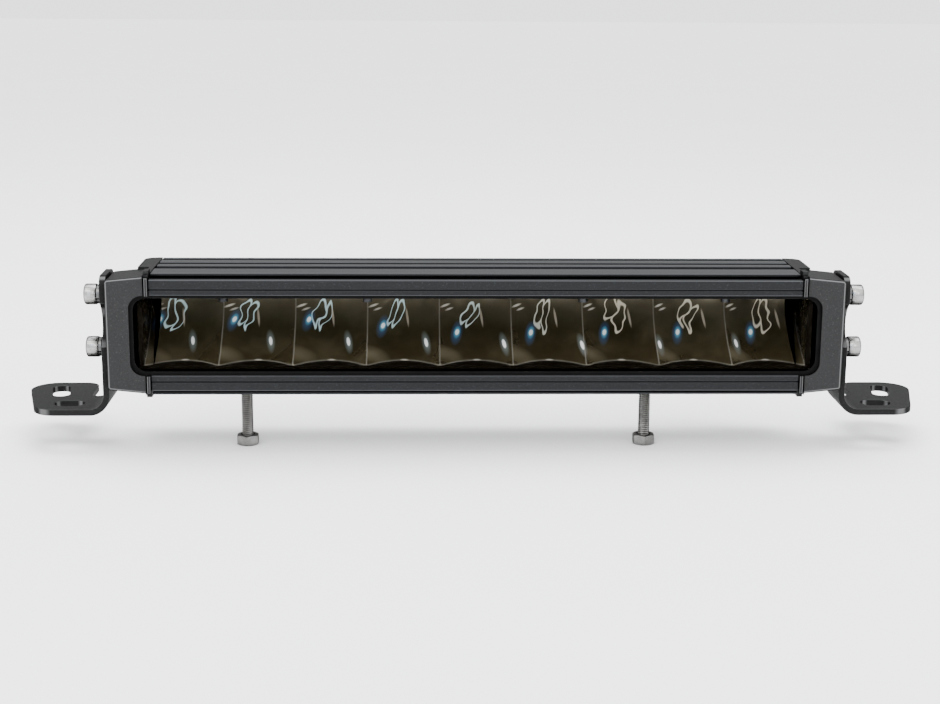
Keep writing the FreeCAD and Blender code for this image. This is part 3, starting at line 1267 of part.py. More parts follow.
def socket_screw(name, side, height, seat):
    """A socket head cap screw that points inwards."""
    under = f"{seat} + dims.washer_thickness + dims.spring_washer"
    shank = cylinder(f"{name}_shank", "dims.screw_shank", "dims.screw_length + 1",
                     (outward(side, f"{under} - dims.screw_length", "dims.screw_length + 1"),
                      "0", height), "x")
    head = cylinder(f"{name}_head", "dims.screw_head", "dims.screw_head_height",
                    (outward(side, under, "dims.screw_head_height"), "0", height), "x")
    bottom = f"{under} + dims.screw_head_height - dims.socket_depth"
    socket = prism(f"{name}_socket", "dims.socket_flats", "dims.socket_depth + 0.5",
                   (outward(side, bottom, "dims.socket_depth + 0.5"), "0", height), "x")
    return cut(name, fuse(f"{name}_solid", [shank, head]), socket)


def make_cap_screws():
    """Small screws that hold the caps to the extrusion."""
    screws = []
    reach = "dims.body_half_length - dims.cap_screw_reach + 1"
    for side, sign in SIDES:
        for index, (y, z) in enumerate(FRONT_SCREWS + REAR_SCREWS):
            seat = "dims.counterbore_seat" if index < len(FRONT_SCREWS) else \
                "dims.cap_shoulder_end"
            name = f"cap_screw_{side}_{index}"
            length = f"{seat} - ({reach})"
            shank = cylinder(f"{name}_shank", "dims.cap_screw_pilot - dims.thread_slack",
                             f"{length} + 0.5",
                             (outward(side, reach, f"{length} + 0.5"), depth(y),
                              level(f"({z})")), "x")
            head = cylinder(f"{name}_head", "dims.cap_screw_head", "dims.cap_screw_head_height",
                            (outward(side, seat, "dims.cap_screw_head_height"), depth(y),
                             level(f"({z})")), "x")
            screws.append(fuse(name, [shank, head]))
    keep(group("end_cap_screws", screws), "end_cap_screws")


def make_channel_bolt(side):
    """Square-headed bolt that hangs in the channel, and its nut."""
    x = f"dims.{side}_bolt_place"
    y = depth("dims.channel_centre")
    under = level("(dims.channel_lip + 0.1)")
    head = box(f"bolt_head_{side}", ("2 * dims.bolt_head_half", "2 * dims.bolt_head_half",
                                     "dims.bolt_head_height"),
               (f"{x} - dims.bolt_head_half", f"{y} - dims.bolt_head_half", under))
    shank = cylinder(f"bolt_shank_{side}", "dims.stud_radius",
                     f"{under} - dims.stud_end + 1", (x, y, "dims.stud_end"))
    keep(fuse(f"channel_bolt_{side}", [head, shank]), f"channel_bolt_{side}")
    nut = prism(f"nut_hex_{side}", "dims.nut_flats", "dims.nut_height", (x, y, "dims.stud_end"),
                "z")
    hole = cylinder(f"nut_hole_{side}", "dims.nut_bore", "dims.nut_height + 2",
                    (x, y, "dims.stud_end - 1"))
    keep(cut(f"channel_nut_{side}", nut, hole), f"channel_nut_{side}")


# ---------------------------------------------------------------- build and write

def build_all():
    """Make every piece of the light bar."""
    make_housing()
    for side, sign in SIDES:
        make_end_cap(side, sign)
        make_end_gasket(side, sign)
        make_bracket(side, sign)
        make_channel_bolt(side)
    make_lens()
    make_lens_gasket()
    make_reflector()
    make_led_board()
    make_leds()
    make_driver()
    make_supply_leads()
    make_gland()
    make_vent()
    make_bracket_fasteners()
    make_cap_screws()
    doc.recompute()


def check_all():
    """Stop if any object failed or any piece has no valid shape."""
    for thing in doc.Objects:
        if "Invalid" in thing.State or "Error" in thing.State:
            raise RuntimeError(f"{thing.Name} failed: {thing.State}")
    for node in nodes:
        if node.Shape.isNull() or not node.Shape.isValid():
            raise RuntimeError(f"{node.Label} has no valid shape")


def write_all():
    """Write one STEP file per piece."""
    os.makedirs("parts", exist_ok=True)
    for node in nodes:
        node.Shape.exportStep(f"parts/{node.Label}.step")
        limits = node.Shape.BoundBox
        print(f"{node.Label:20s} solids {len(node.Shape.Solids):2d}"
              f"  X {limits.XMin:8.2f} {limits.XMax:8.2f}"
              f"  Y {limits.YMin:7.2f} {limits.YMax:7.2f}"
              f"  Z {limits.ZMin:7.2f} {limits.ZMax:7.2f}")


build_all()
check_all()
write_all()
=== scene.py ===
"""LED light bar: the looks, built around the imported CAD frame.

Sections and sizes are in millimetres. Depths are measured back from the lamp's front face and
heights from the middle of its housing. Objects are in metres, in the frame's own coordinates.
"""

import json
import math

import bmesh
import bpy
from mathutils import Matrix, Vector


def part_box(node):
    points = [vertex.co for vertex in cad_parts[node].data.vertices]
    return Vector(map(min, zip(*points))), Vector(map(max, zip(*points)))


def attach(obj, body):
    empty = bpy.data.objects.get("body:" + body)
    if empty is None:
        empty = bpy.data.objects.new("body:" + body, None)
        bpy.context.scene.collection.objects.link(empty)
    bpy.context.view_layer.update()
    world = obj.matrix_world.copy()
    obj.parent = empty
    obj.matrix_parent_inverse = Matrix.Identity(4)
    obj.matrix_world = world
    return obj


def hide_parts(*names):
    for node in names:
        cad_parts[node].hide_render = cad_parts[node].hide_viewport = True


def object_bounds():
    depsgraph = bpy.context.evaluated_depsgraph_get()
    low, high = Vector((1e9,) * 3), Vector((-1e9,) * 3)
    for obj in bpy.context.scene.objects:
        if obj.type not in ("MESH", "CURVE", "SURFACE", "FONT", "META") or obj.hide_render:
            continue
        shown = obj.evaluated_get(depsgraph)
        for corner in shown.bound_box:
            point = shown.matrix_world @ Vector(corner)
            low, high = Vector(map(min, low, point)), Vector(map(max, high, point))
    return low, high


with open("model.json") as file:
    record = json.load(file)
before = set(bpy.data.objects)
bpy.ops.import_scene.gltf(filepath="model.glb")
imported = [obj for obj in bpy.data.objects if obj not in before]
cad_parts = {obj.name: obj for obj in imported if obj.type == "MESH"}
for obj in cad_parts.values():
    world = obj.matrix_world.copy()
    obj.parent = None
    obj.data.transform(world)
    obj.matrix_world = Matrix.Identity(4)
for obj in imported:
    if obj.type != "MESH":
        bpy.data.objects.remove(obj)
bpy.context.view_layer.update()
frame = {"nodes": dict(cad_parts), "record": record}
NODES = frame["nodes"]
BODY_OF = {}
for body_name, members in frame["record"]["behaviour"]["bodies"].items():
    for member in members:
        BODY_OF[member] = body_name

MM = 0.001
HOUSING_LOW, HOUSING_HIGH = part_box("housing")
FRONT = HOUSING_LOW.y
LEVEL = (HOUSING_LOW.z + HOUSING_HIGH.z) / 2
SIDES = (("left", -1), ("right", 1))


# ---------------------------------------------------------------- mesh helpers

WELD = 1e-7
CAD_WELD = 2e-6
FLAT_WITHIN = math.radians(0.6)
BEVEL_ABOVE = math.radians(32)
STRAIGHT_WITHIN = 1e-4
# share of a section's edge that one rounded corner may take up
EDGE_SHARE = 0.49


def make_object(name, points, faces, smooth_angle=35):
    """A mesh object from points and faces, smooth where its faces meet at a small angle."""
    mesh = bpy.data.meshes.new(name)
    mesh.from_pydata([tuple(p) for p in points], [], faces)
    return adopt(name, mesh, smooth_angle)


def adopt(name, mesh, smooth_angle):
    """Link a mesh as an object, with outward normals and smooth shading up to an angle."""
    work = bmesh.new()
    work.from_mesh(mesh)
    bmesh.ops.remove_doubles(work, verts=work.verts, dist=WELD)
    bmesh.ops.recalc_face_normals(work, faces=work.faces)
    work.to_mesh(mesh)
    work.free()
    mesh.validate()
    mesh.shade_smooth()
    mesh.set_sharp_from_angle(angle=math.radians(smooth_angle))
    piece = bpy.data.objects.new(name, mesh)
    bpy.context.scene.collection.objects.link(piece)
    return piece


def even_out(piece):
    """Keep a piece's flat faces flat in the shading."""
    even = piece.modifiers.new("even", "WEIGHTED_NORMAL")
    even.keep_sharp = True
    return piece


def place(piece, node, material):
    """Ride on the node's body, stand for the node and take a material."""
    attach(piece, BODY_OF[node])
    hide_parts(node)
    piece.data.materials.clear()
    piece.data.materials.append(material)
    return piece


def copy_of(node, merge=False):
    """A copy of the node's own shape. Merging joins the triangles of each flat face."""
    source = NODES[node].data
    mesh = bpy.data.meshes.new(node + "_skin")
    faces = [tuple(p.vertices) for p in source.polygons]
    mesh.from_pydata([tuple(v.co) for v in source.vertices], [], faces)
    if merge:
        work = bmesh.new()
        work.from_mesh(mesh)
        bmesh.ops.remove_doubles(work, verts=work.verts, dist=CAD_WELD)
        bmesh.ops.dissolve_limit(work, angle_limit=FLAT_WITHIN, verts=work.verts,
                                 edges=work.edges)
        work.to_mesh(mesh)
        work.free()
    return adopt(node + "_skin", mesh, 28)


def reskin(node, material):
    """The node's own rounded shape with clean shading."""
    return place(even_out(copy_of(node)), node, material)


def soften(node, width, material, segments=3):
    """The node's own shape with its edges rounded."""
    piece = copy_of(node, merge=True)
    rounding = piece.modifiers.new("round", "BEVEL")
    rounding.width = width * MM
    rounding.segments = segments
    rounding.limit_method = "ANGLE"
    rounding.angle_limit = BEVEL_ABOVE
    rounding.miter_outer = "MITER_ARC"
    return place(even_out(piece), node, material)


def angles_round(steps):
    """Evenly spaced angles once round a circle."""
    return [2 * math.pi * step / steps for step in range(steps)]


def ring_faces(rings, steps, loop=False):
    """Faces between rings of points. The last ring joins the first, or each end is closed."""
    faces = []
    for ring in range(rings if loop else rings - 1):
        here = ring * steps
        there = (ring + 1) % rings * steps
        for step in range(steps):
            after = (step + 1) % steps
            faces.append((here + step, here + after, there + after, there + step))
    if not loop:
        faces.append(tuple(range(steps)))
        faces.append(tuple(range((rings - 1) * steps, rings * steps)))
    return faces


def lathe_piece(name, profile, centre, axis, steps, closed=True):
    """A profile of (along, radius) pairs turned about an axis. An open one has its ends closed."""
    turn = Vector((0, 0, 1)).rotation_difference(Vector(axis)).to_matrix()
    points = []
    for along, radius in profile:
        for angle in angles_round(steps):
            local = Vector((radius * math.cos(angle), radius * math.sin(angle), along)) * MM
            points.append(centre + turn @ local)
    return make_object(name, points, ring_faces(len(profile), steps, closed))


def round_corners(corners, steps=4):
    """Round a polygon's corners. Each corner is (u, v, radius)."""
    outline = []
    count = len(corners)
    for index, (u, v, radius) in enumerate(corners):
        here = Vector((u, v))
        before = Vector(corners[index - 1][:2]) - here
        after = Vector(corners[(index + 1) % count][:2]) - here
        angle = before.angle(after)
        if radius <= 0 or abs(angle - math.pi) < STRAIGHT_WITHIN:
            outline.append(here)
            continue
        reach = radius / math.tan(angle / 2)
        reach = min(reach, before.length * EDGE_SHARE, after.length * EDGE_SHARE)
        radius = reach * math.tan(angle / 2)
        start = here + before.normalized() * reach
        end = here + after.normalized() * reach
        inward = (before.normalized() + after.normalized()).normalized()
        centre = here + inward * math.hypot(radius, reach)
        first = math.atan2(start.y - centre.y, start.x - centre.x)
        last = math.atan2(end.y - centre.y, end.x - centre.x)
        sweep = (last - first + math.pi) % (2 * math.pi) - math.pi
        for step in range(steps + 1):
            turned = first + sweep * step / steps
            outline.append(centre + Vector((math.cos(turned), math.sin(turned))) * radius)
    return outline


def rounded_rectangle(half_u, half_v, radius, steps):
    """Outline of a rounded rectangle about its own centre."""
    corners = [(-half_u, -half_v, radius), (half_u, -half_v, radius), (half_u, half_v, radius),
               (-half_u, half_v, radius)]
    return round_corners(corners, steps)


def extrude_along_x(name, outline, low, high):
    """A section of (depth, height) drawn out along X, with both ends closed."""
    count = len(outline)
    points = []
    for x in (low, high):
        for y, z in outline:
            points.append((x * MM, FRONT + y * MM, LEVEL + z * MM))
    work = bmesh.new()
    verts = [work.verts.new(p) for p in points]
    for index in range(count):
        after = (index + 1) % count
        work.faces.new((verts[index], verts[after], verts[count + after], verts[count + index]))
    ends = [work.faces.new(verts[:count]), work.faces.new(verts[count:])]
    bmesh.ops.triangulate(work, faces=ends, ngon_method="EAR_CLIP")
    mesh = bpy.data.meshes.new(name)
    work.to_mesh(mesh)
    work.free()
    return even_out(adopt(name, mesh, 40))


# ---------------------------------------------------------------- material helpers

def tint(colour, share):
    """A colour made darker or lighter."""
    return tuple(c * share for c in colour)


class Paint:
    """Builds one node material step by step."""

    def __init__(self, name):
        self.material = bpy.data.materials.new(name)
        self.material.use_nodes = True
        self.tree = self.material.node_tree
        self.shader = self.tree.nodes["Principled BSDF"]
        coordinates = self.tree.nodes.new("ShaderNodeTexCoord")
        self.space = coordinates.outputs["Object"]

    def node(self, kind, **settings):
        """A node with its settings."""
        made = self.tree.nodes.new(kind)
        for name, setting in settings.items():
            setattr(made, name, setting)
        return made

    def link(self, output, target):
        """Join an output to an input."""
        self.tree.links.new(output, target)

    def feed(self, socket, value):
        """Give an input a number, a colour or another node's output."""
        if isinstance(value, bpy.types.NodeSocket):
            self.link(value, socket)
        else:
            socket.default_value = value

    def stretched(self, scale):
        """Coordinates scaled differently along each axis."""
        mapping = self.node("ShaderNodeMapping")
        mapping.inputs["Scale"].default_value = scale
        self.link(self.space, mapping.inputs["Vector"])
        return mapping.outputs["Vector"]

    def noise(self, scale, detail=3.0, stretch=None):
        """Noise from 0 to 1 in object space."""
        texture = self.node("ShaderNodeTexNoise")
        texture.inputs["Scale"].default_value = scale
        texture.inputs["Detail"].default_value = detail
        texture.inputs["Roughness"].default_value = 0.55
        self.link(self.stretched(stretch) if stretch else self.space, texture.inputs["Vector"])
        return texture.outputs["Fac"]

    def ramp(self, factor, low, first, high, second):
        """Run from a first colour, where the factor is low, to a second where it is high."""
        made = self.node("ShaderNodeValToRGB")
        stops = ((low, first), (high, second))
        for element, (position, colour) in zip(made.color_ramp.elements, stops):
            element.position = position
            element.color = (*colour, 1)
        self.link(factor, made.inputs["Fac"])
        return made.outputs["Color"]

    def spread(self, factor, low, high, start=0.0, end=1.0):
        """Map a factor's range start..end to low..high."""
        made = self.node("ShaderNodeMapRange")
        made.inputs["From Min"].default_value = start
        made.inputs["From Max"].default_value = end
        made.inputs["To Min"].default_value = low
        made.inputs["To Max"].default_value = high
        self.link(factor, made.inputs["Value"])
        return made.outputs["Result"]

    def mix(self, factor, first, second):
        """Mix two colours, each a colour or an output."""
        made = self.node("ShaderNodeMix", data_type="RGBA")
        self.link(factor, made.inputs["Factor"])
        # a Mix node has sockets of several kinds under the same names, so these go by number
        for socket, value in ((made.inputs[6], first), (made.inputs[7], second)):
            self.feed(socket, (*value, 1) if isinstance(value, tuple) else value)
        return made.outputs[2]

    def calculate(self, operation, first, second=0.0, third=0.0):
        """A math node. Its inputs are numbers or outputs."""
        made = self.node("ShaderNodeMath", operation=operation)
        for socket, value in zip(made.inputs, (first, second, third)):
            self.feed(socket, value)
        return made.outputs[0]

    def turned_away(self):
        """0 on faces square to the view and 1 on faces seen edge on."""
        made = self.node("ShaderNodeLayerWeight")
        made.inputs["Blend"].default_value = 0.5
        return made.outputs["Facing"]

    def crevice(self, reach):
        """1 in the open and 0 deep in gaps narrower than the reach: a mask for painted shade."""
        made = self.node("ShaderNodeAmbientOcclusion", samples=6)
        made.inputs["Distance"].default_value = reach * MM
        return self.spread(made.outputs["AO"], 0, 1, 0.15, 0.85)

    def bump(self, *layers):
        """Bump from (height, strength, distance) layers."""
        normal = None
        for height, strength, distance in layers:
            made = self.node("ShaderNodeBump")
            made.inputs["Strength"].default_value = strength
            made.inputs["Distance"].default_value = distance * MM
            self.link(height, made.inputs["Height"])
            if normal is not None:
                self.link(normal, made.inputs["Normal"])
            normal = made.outputs["Normal"]
        self.link(normal, self.shader.inputs["Normal"])

    def colour(self, output):
        """Link the base colour."""
        self.link(output, self.shader.inputs["Base Color"])

    def roughness(self, factor, low, high):
        """Vary the roughness from low to high over the middle of a factor's range."""
        self.link(self.spread(factor, low, high, 0.3, 0.7), self.shader.inputs["Roughness"])

    def set(self, **values):
        """Set the shader's own values."""
        for name, value in values.items():
            self.shader.inputs[name.replace("_", " ")].default_value = value


# ---------------------------------------------------------------- materials

def powder_coat(name, shade, gloss, edge, steep=1.0, grain=2600, drawn=False):
    """Black powder coat: fine orange peel, pale speckle, a painted highlight along rounded edges
    and painted shade in crevices.

    Edge and steep are the shade's brightness where the surface starts to turn away from the
    view, a painted highlight, and where it is seen steeply, painted shade. A drawn coat has fine
    lines along X.
    """
    paint = Paint(name)
    peel = paint.noise(1500, 2)
    base = paint.ramp(peel, 0.35, tint(shade, 0.9), 0.65, tint(shade, 1.1))
    speckle = paint.spread(paint.noise(grain * 0.6, 1), 0, 0.6, 0.62, 0.75)
    base = paint.mix(speckle, base, tint(shade, 2.4))
    # painted highlight on rounded edges that start to turn from the view, then painted shade where
    # seen steeply
    turned = paint.turned_away()
    rising = paint.spread(turned, 0, 1, 0.1, 0.2)
    falling = paint.spread(turned, 1, 0, 0.32, 0.45)
    painted_edge_highlight = paint.calculate("MULTIPLY", rising, falling)
    base = paint.mix(painted_edge_highlight, base, tint(shade, edge))
    base = paint.mix(paint.spread(turned, 0, 1, 0.4, 0.55), base, tint(shade, steep))
    # painted shade: darker deep in crevices and gaps
    paint.colour(paint.mix(paint.crevice(5), tint(shade, 0.12), base))
    paint.roughness(paint.noise(1500, 3), 0.45, 0.55)
    layers = [(paint.noise(grain, 2), 0.2, 0.03), (paint.noise(1700, 2), 0.1, 0.03)]
    if drawn:
        layers.append((paint.noise(1, 3, stretch=(3, 1400, 1400)), 0.1, 0.03))
    paint.bump(*layers)
    paint.set(Specular_IOR_Level=gloss)
    return paint.material


def metal(name, colour, rough=(0.2, 0.36), steep=0.92):
    """Bright metal with fine scratches, slight staining and painted shade on turned-away sides and
    in gaps.
    """
    paint = Paint(name)
    base = paint.ramp(paint.noise(240, 4), 0.3, tint(colour, 0.6), 0.6, colour)
    grime = paint.spread(paint.noise(900, 2), 0, 0.6, 0.62, 0.8)
    base = paint.mix(grime, base, tint(colour, 0.5))
    # painted shade: darker on sides turned away from the view
    turned = paint.spread(paint.turned_away(), 0, steep, 0.1, 0.75)
    base = paint.mix(turned, base, tint(colour, 0.08))
    # painted shade: darker deep in gaps
    paint.colour(paint.mix(paint.crevice(3), tint(colour, 0.06), base))
    scratches = paint.noise(1, 4, stretch=(2400, 2400, 2400))
    paint.roughness(scratches, *rough)
    paint.bump((scratches, 0.12, 0.03))
    paint.set(Metallic=1.0, Specular_Tint=(0.25, 0.25, 0.25, 1))
    return paint.material


def plastic(name, colour, rough=(0.35, 0.55), grain=1500, bump=0.15, gloss=0.3, accent=None):
    """Moulded plastic with fine grain and slight colour variation, and marks in an accent."""
    paint = Paint(name)
    base = paint.ramp(paint.noise(120, 4), 0.3, tint(colour, 0.8), 0.7, tint(colour, 1.15))
    if accent:
        marks = paint.spread(paint.noise(700, 1), 0, 1, 0.6, 0.64)
        base = paint.mix(marks, base, accent)
    paint.colour(base)
    paint.roughness(paint.noise(300, 3), *rough)
    paint.bump((paint.noise(grain, 2), bump, 0.04))
    paint.set(Specular_IOR_Level=gloss)
    return paint.material


def circuit_board(name, colour, track):
    """Solder mask with tracks and pads showing through."""
    paint = Paint(name)
    cells = paint.node("ShaderNodeTexVoronoi", feature="DISTANCE_TO_EDGE")
    cells.inputs["Scale"].default_value = 260
    paint.link(paint.space, cells.inputs["Vector"])
    tracks = paint.spread(cells.outputs["Distance"], 1, 0, 0.02, 0.06)
    mask = paint.ramp(paint.noise(90), 0.3, colour, 0.7, tint(colour, 1.2))
    paint.colour(paint.mix(tracks, mask, track))
    paint.roughness(paint.noise(300), 0.25, 0.4)
    paint.bump((tracks, 0.2, 0.04), (paint.noise(1800), 0.08, 0.02))
    return paint.material


def clear_lens(name):
    """Clear coated polycarbonate: clear from the front, glossy and a little dusty edge on."""
    paint = Paint(name)
    clear = paint.node("ShaderNodeBsdfTransparent")
    clear.inputs["Color"].default_value = (0.95, 0.955, 0.95, 1)
    gloss = paint.node("ShaderNodeBsdfGlossy")
    dust = paint.noise(260, 5)
    paint.link(paint.spread(dust, 0.3, 0.42, 0.35, 0.75), gloss.inputs["Roughness"])
    paint.link(paint.ramp(dust, 0.3, (0.86, 0.93, 1.0), 0.8, (1, 1, 1)), gloss.inputs["Color"])
    made = paint.node("ShaderNodeMixShader")
    paint.link(paint.spread(paint.turned_away(), 0, 0.5, 0.6, 1.0), made.inputs["Fac"])
    paint.link(clear.outputs["BSDF"], made.inputs[1])
    paint.link(gloss.outputs["BSDF"], made.inputs[2])
    paint.link(made.outputs["Shader"], paint.tree.nodes["Material Output"].inputs["Surface"])
    paint.tree.nodes.remove(paint.shader)
    return paint.material


# ---------------------------------------------------------------- smoked mirror

CELLS = 9
PITCH = 35.0
DISH_FLOOR = -15.5

# Painted reflections: closed loops of light. Each entry is a row of them along X: pitch and start
# of the row, height, half width, half height, lean. LOOP_TURN is where they turn from the first
# colour to the second, in metres along X, and LOOP_DRIFT how far their outlines wander.
LOOPS = ((36.2, -4.2, 3.6, 2.7, 6.4, -0.35), (36.2, -0.9, 1.6, 2.5, 7.0, -0.35))
LOOP_TURN = (-0.03, 0.05)
LOOP_COLOURS = ((0.55, 0.72, 0.75), (0.66, 0.6, 0.48))
LOOP_DRIFT = 2.6

# Blue glows, painted reflections, sink by the drop from the left end to the right end of a span,
# in metres along X.
GLOW_PITCH = 36.25
GLOW_DROP = 6.0
GLOW_DROP_SPAN = (-0.085, -0.005)

# Painted reflections and highlights: glows, glints and streaks. Each entry is a row of them:
# pitch and start of the row, height, half width, half height, lean, strength, softness, colour.
# A row at the cells' own pitch shows only in the left half of each cell.
GLINTS = (
    (GLOW_PITCH, -9.0, 0.8, 3.2, 5.0, -0.2, 0.55, 1.5, (0.06, 0.26, 0.6)),
    (GLOW_PITCH, -8.8, 1.0, 1.9, 2.6, -0.2, 0.8, 1.1, (0.2, 0.7, 1.0)),
    (GLOW_PITCH, -8.8, 1.0, 1.15, 1.3, -0.2, 1.0, 0.5, (0.95, 1.0, 1.0)),
    (37.8, 13.8, -8.4, 2.4, 4.6, 0.2, 0.5, 1.3, (0.4, 0.5, 0.52)),
    (37.8, 13.8, -8.4, 1.0, 1.8, 0.2, 1.0, 0.5, (1.0, 1.0, 1.0)),
    (PITCH, -15.5, -11.5, 6.5, 4.6, 1.6, 0.45, 1.6, (0.27, 0.235, 0.17)),
    (36.6, 3.4, 1.0, 0.7, 4.6, 0.15, 0.6, 0.7, (0.6, 0.52, 0.42)),
    (35.03, 0.5, -15.2, 2.4, 0.35, 0.0, 0.6, 0.9, (0.7, 0.68, 0.62)),
    (35.1, -14.6, 7.6, 2.6, 0.8, -1.5, 0.8, 0.9, (0.75, 0.7, 0.6)),
    (35.1, -12.6, 5.6, 2.2, 0.7, -1.5, 0.7, 0.9, (0.7, 0.66, 0.58)))


def repeat_along(paint, x, pitch, start):
    """Distance in millimetres from the nearest of a row of places along X."""
    shifted = paint.calculate("SUBTRACT", x, start * MM)
    turns = paint.calculate("MULTIPLY_ADD", shifted, 1 / (pitch * MM), 0.5)
    part = paint.calculate("SUBTRACT", paint.calculate("FRACT", turns), 0.5)
    return paint.calculate("MULTIPLY", part, pitch)


def leaning_row(paint, x, height, pitch, start, level, lean):
    """Distance across from a row of marks that lean sideways as they rise."""
    above = paint.calculate("SUBTRACT", height, level)
    return paint.calculate("MULTIPLY_ADD", above, lean, repeat_along(paint, x, pitch, start))


def soft_oval(paint, across, height, half_width, level, half_height):
    """1 in the middle of a soft oval and 0 at its edge."""
    u = paint.calculate("DIVIDE", across, half_width)
    v = paint.calculate("DIVIDE", paint.calculate("SUBTRACT", height, level), half_height)
    far = paint.calculate("MULTIPLY_ADD", v, v, paint.calculate("MULTIPLY", u, u))
    return paint.calculate("MAXIMUM", paint.calculate("SUBTRACT", 1.0, far), 0.0)


def smoke_and_painted_sheen(paint, height):
    """Smoky olive brown, hazy in patches, with a painted reflection that makes it paler towards the
    top.
    """
    base = paint.ramp(paint.noise(70, 3), 0.3, (0.050, 0.038, 0.018), 0.7, (0.072, 0.057, 0.030))
    haze = paint.spread(paint.noise(38, 3), 0, 0.7, 0.5, 0.72)
    base = paint.mix(haze, base, (0.13, 0.108, 0.066))
    # painted reflection: paler towards the top of the dishes
    rise = paint.spread(height, 0, 0.6, -3, 9)
    return paint.mix(rise, base, (0.2, 0.175, 0.13))


def painted_reflection_loops(paint, x, height):
    """(mark, colour) of each row of painted reflection loops: the rims of ovals that drift out of
    shape.
    """
    turn = paint.spread(x, 0, 1, *LOOP_TURN)
    colour = paint.ramp(turn, 0.0, LOOP_COLOURS[0], 1.0, LOOP_COLOURS[1])
    drift = paint.spread(paint.noise(85, 1), -LOOP_DRIFT, LOOP_DRIFT, 0.25, 0.75)
    drifted = paint.calculate("SUBTRACT", height, drift)
    marks = []
    for pitch, start, level, width, tall, lean in LOOPS:
        across = leaning_row(paint, x, height, pitch, start, level, lean)
        across = paint.calculate("ADD", across, drift)
        inside = soft_oval(paint, across, drifted, width, level, tall)
        rim = paint.calculate("ABSOLUTE", paint.calculate("SUBTRACT", inside, 0.3))
        marks.append((paint.spread(rim, 1, 0, 0.1, 0.26), colour))
    return marks


def painted_reflection_glints(paint, x, height):
    """(mark, colour) of each row of painted reflections: glows, glints and streaks."""
    sunk = paint.calculate("ADD", height, paint.spread(x, 0, GLOW_DROP, *GLOW_DROP_SPAN))
    marks = []
    for pitch, start, level, width, tall, lean, strength, soft, colour in GLINTS:
        seen_height = sunk if pitch == GLOW_PITCH else height
        across = leaning_row(paint, x, seen_height, pitch, start, level, lean)
        mark = soft_oval(paint, across, seen_height, width, level, tall)
        mark = paint.spread(mark, 0, strength, 0.0, soft)
        if pitch == PITCH:
            left_half = paint.calculate("LESS_THAN", repeat_along(paint, x, PITCH, 0.0), 0.0)
            mark = paint.calculate("MULTIPLY", mark, left_half)
        marks.append((mark, colour))
    return marks


def painted_edge_highlights(paint, base, x, height):
    """Pale lines where the cells meet and along their foot: painted highlights."""
    across = paint.calculate("ABSOLUTE", repeat_along(paint, x, PITCH, 0.0))
    seam = paint.spread(across, 0, 0.8, PITCH / 2 - 0.45, PITCH / 2 - 0.1)
    base = paint.mix(seam, base, (0.34, 0.32, 0.28))
    foot = paint.spread(height, 0.85, 0, DISH_FLOOR + 0.1, DISH_FLOOR + 0.6)
    return paint.mix(foot, base, (0.3, 0.28, 0.24))


def smoked_mirror(name):
    """Vacuum-metallised moulding with reflections of studio lights painted in: loops, glows and
    glints.
    """
    paint = Paint(name)
    split = paint.node("ShaderNodeSeparateXYZ")
    paint.link(paint.space, split.inputs["Vector"])
    x = split.outputs["X"]
    height = paint.calculate("SUBTRACT", split.outputs["Z"], LEVEL)
    height = paint.calculate("MULTIPLY", height, 1 / MM)
    base = smoke_and_painted_sheen(paint, height)
    # lit gathers the painted reflections, which are also made less metallic
    lit = None
    for mark, colour in painted_reflection_loops(paint, x, height) + painted_reflection_glints(paint, x, height):
        base = paint.mix(mark, base, colour)
        lit = mark if lit is None else paint.calculate("MAXIMUM", lit, mark)
    paint.colour(painted_edge_highlights(paint, base, x, height))
    paint.link(paint.spread(lit, 0.62, 0.1), paint.shader.inputs["Metallic"])
    paint.roughness(paint.noise(200, 3), 0.1, 0.18)
    paint.bump((paint.noise(1500, 2), 0.02, 0.01))
    paint.set(Specular_IOR_Level=0.2)
    return paint.material


# Each coat's edge and steep values set its painted highlight on rounded edges and its painted shade
# where seen steeply.
COAT = powder_coat("black_powder_coat", (0.0115, 0.0115, 0.0116), 0.012, 7.0, steep=0.55)
CAP_COAT = powder_coat("cast_black_coat", (0.022, 0.0221, 0.0225), 0.015, 4.5, steep=0.1,
                       grain=2200)
BODY_COAT = powder_coat("extruded_black_coat", (0.0145, 0.0151, 0.0160), 0.02, 4.0, drawn=True)
# Two copies of the smoked moulding: a near-black one for painted shade on the reflector's floor
# lip, visor and front edges, and a lighter one for painted light on its end walls.
SMOKE_IN_PAINTED_SHADE = plastic("smoked_plastic_in_painted_shade", (0.0036, 0.0026, 0.0014), (0.3, 0.4), 1500, 0.05, 0.02)
SMOKE_IN_PAINTED_LIGHT = plastic("smoked_end_wall_in_painted_light", (0.02, 0.016, 0.009), (0.2, 0.3), 1500, 0.05, 0.15)
RUBBER = plastic("black_rubber", (0.0035, 0.0035, 0.0035), (0.6, 0.8), 1100, 0.2, 0.05)
NYLON = plastic("black_nylon", (0.015, 0.015, 0.016), (0.4, 0.55), 1300, 0.2, 0.2)
STEEL = metal("stainless_steel", (0.33, 0.327, 0.32))
THREAD_STEEL = metal("rolled_thread_steel", (0.56, 0.55, 0.53), (0.3, 0.42))
# a darker copy of steel for the washers: painted shade under the screw heads
WASHER_STEEL_IN_PAINTED_SHADE = metal("washer_steel_in_painted_shade", (0.12, 0.12, 0.118), (0.28, 0.4))
NUT_STEEL = metal("nut_steel", (0.27, 0.267, 0.26), (0.24, 0.4), steep=0.5)
DULL_STEEL = metal("dull_steel", (0.25, 0.25, 0.245), (0.3, 0.5))
BLACK_STEEL = metal("black_plated_steel", (0.06, 0.06, 0.065), (0.3, 0.45))
BRASS = metal("brass", (0.7, 0.5, 0.24))
LENS = clear_lens("clear_polycarbonate")
MIRROR = smoked_mirror("smoked_mirror")


# ---------------------------------------------------------------- housing

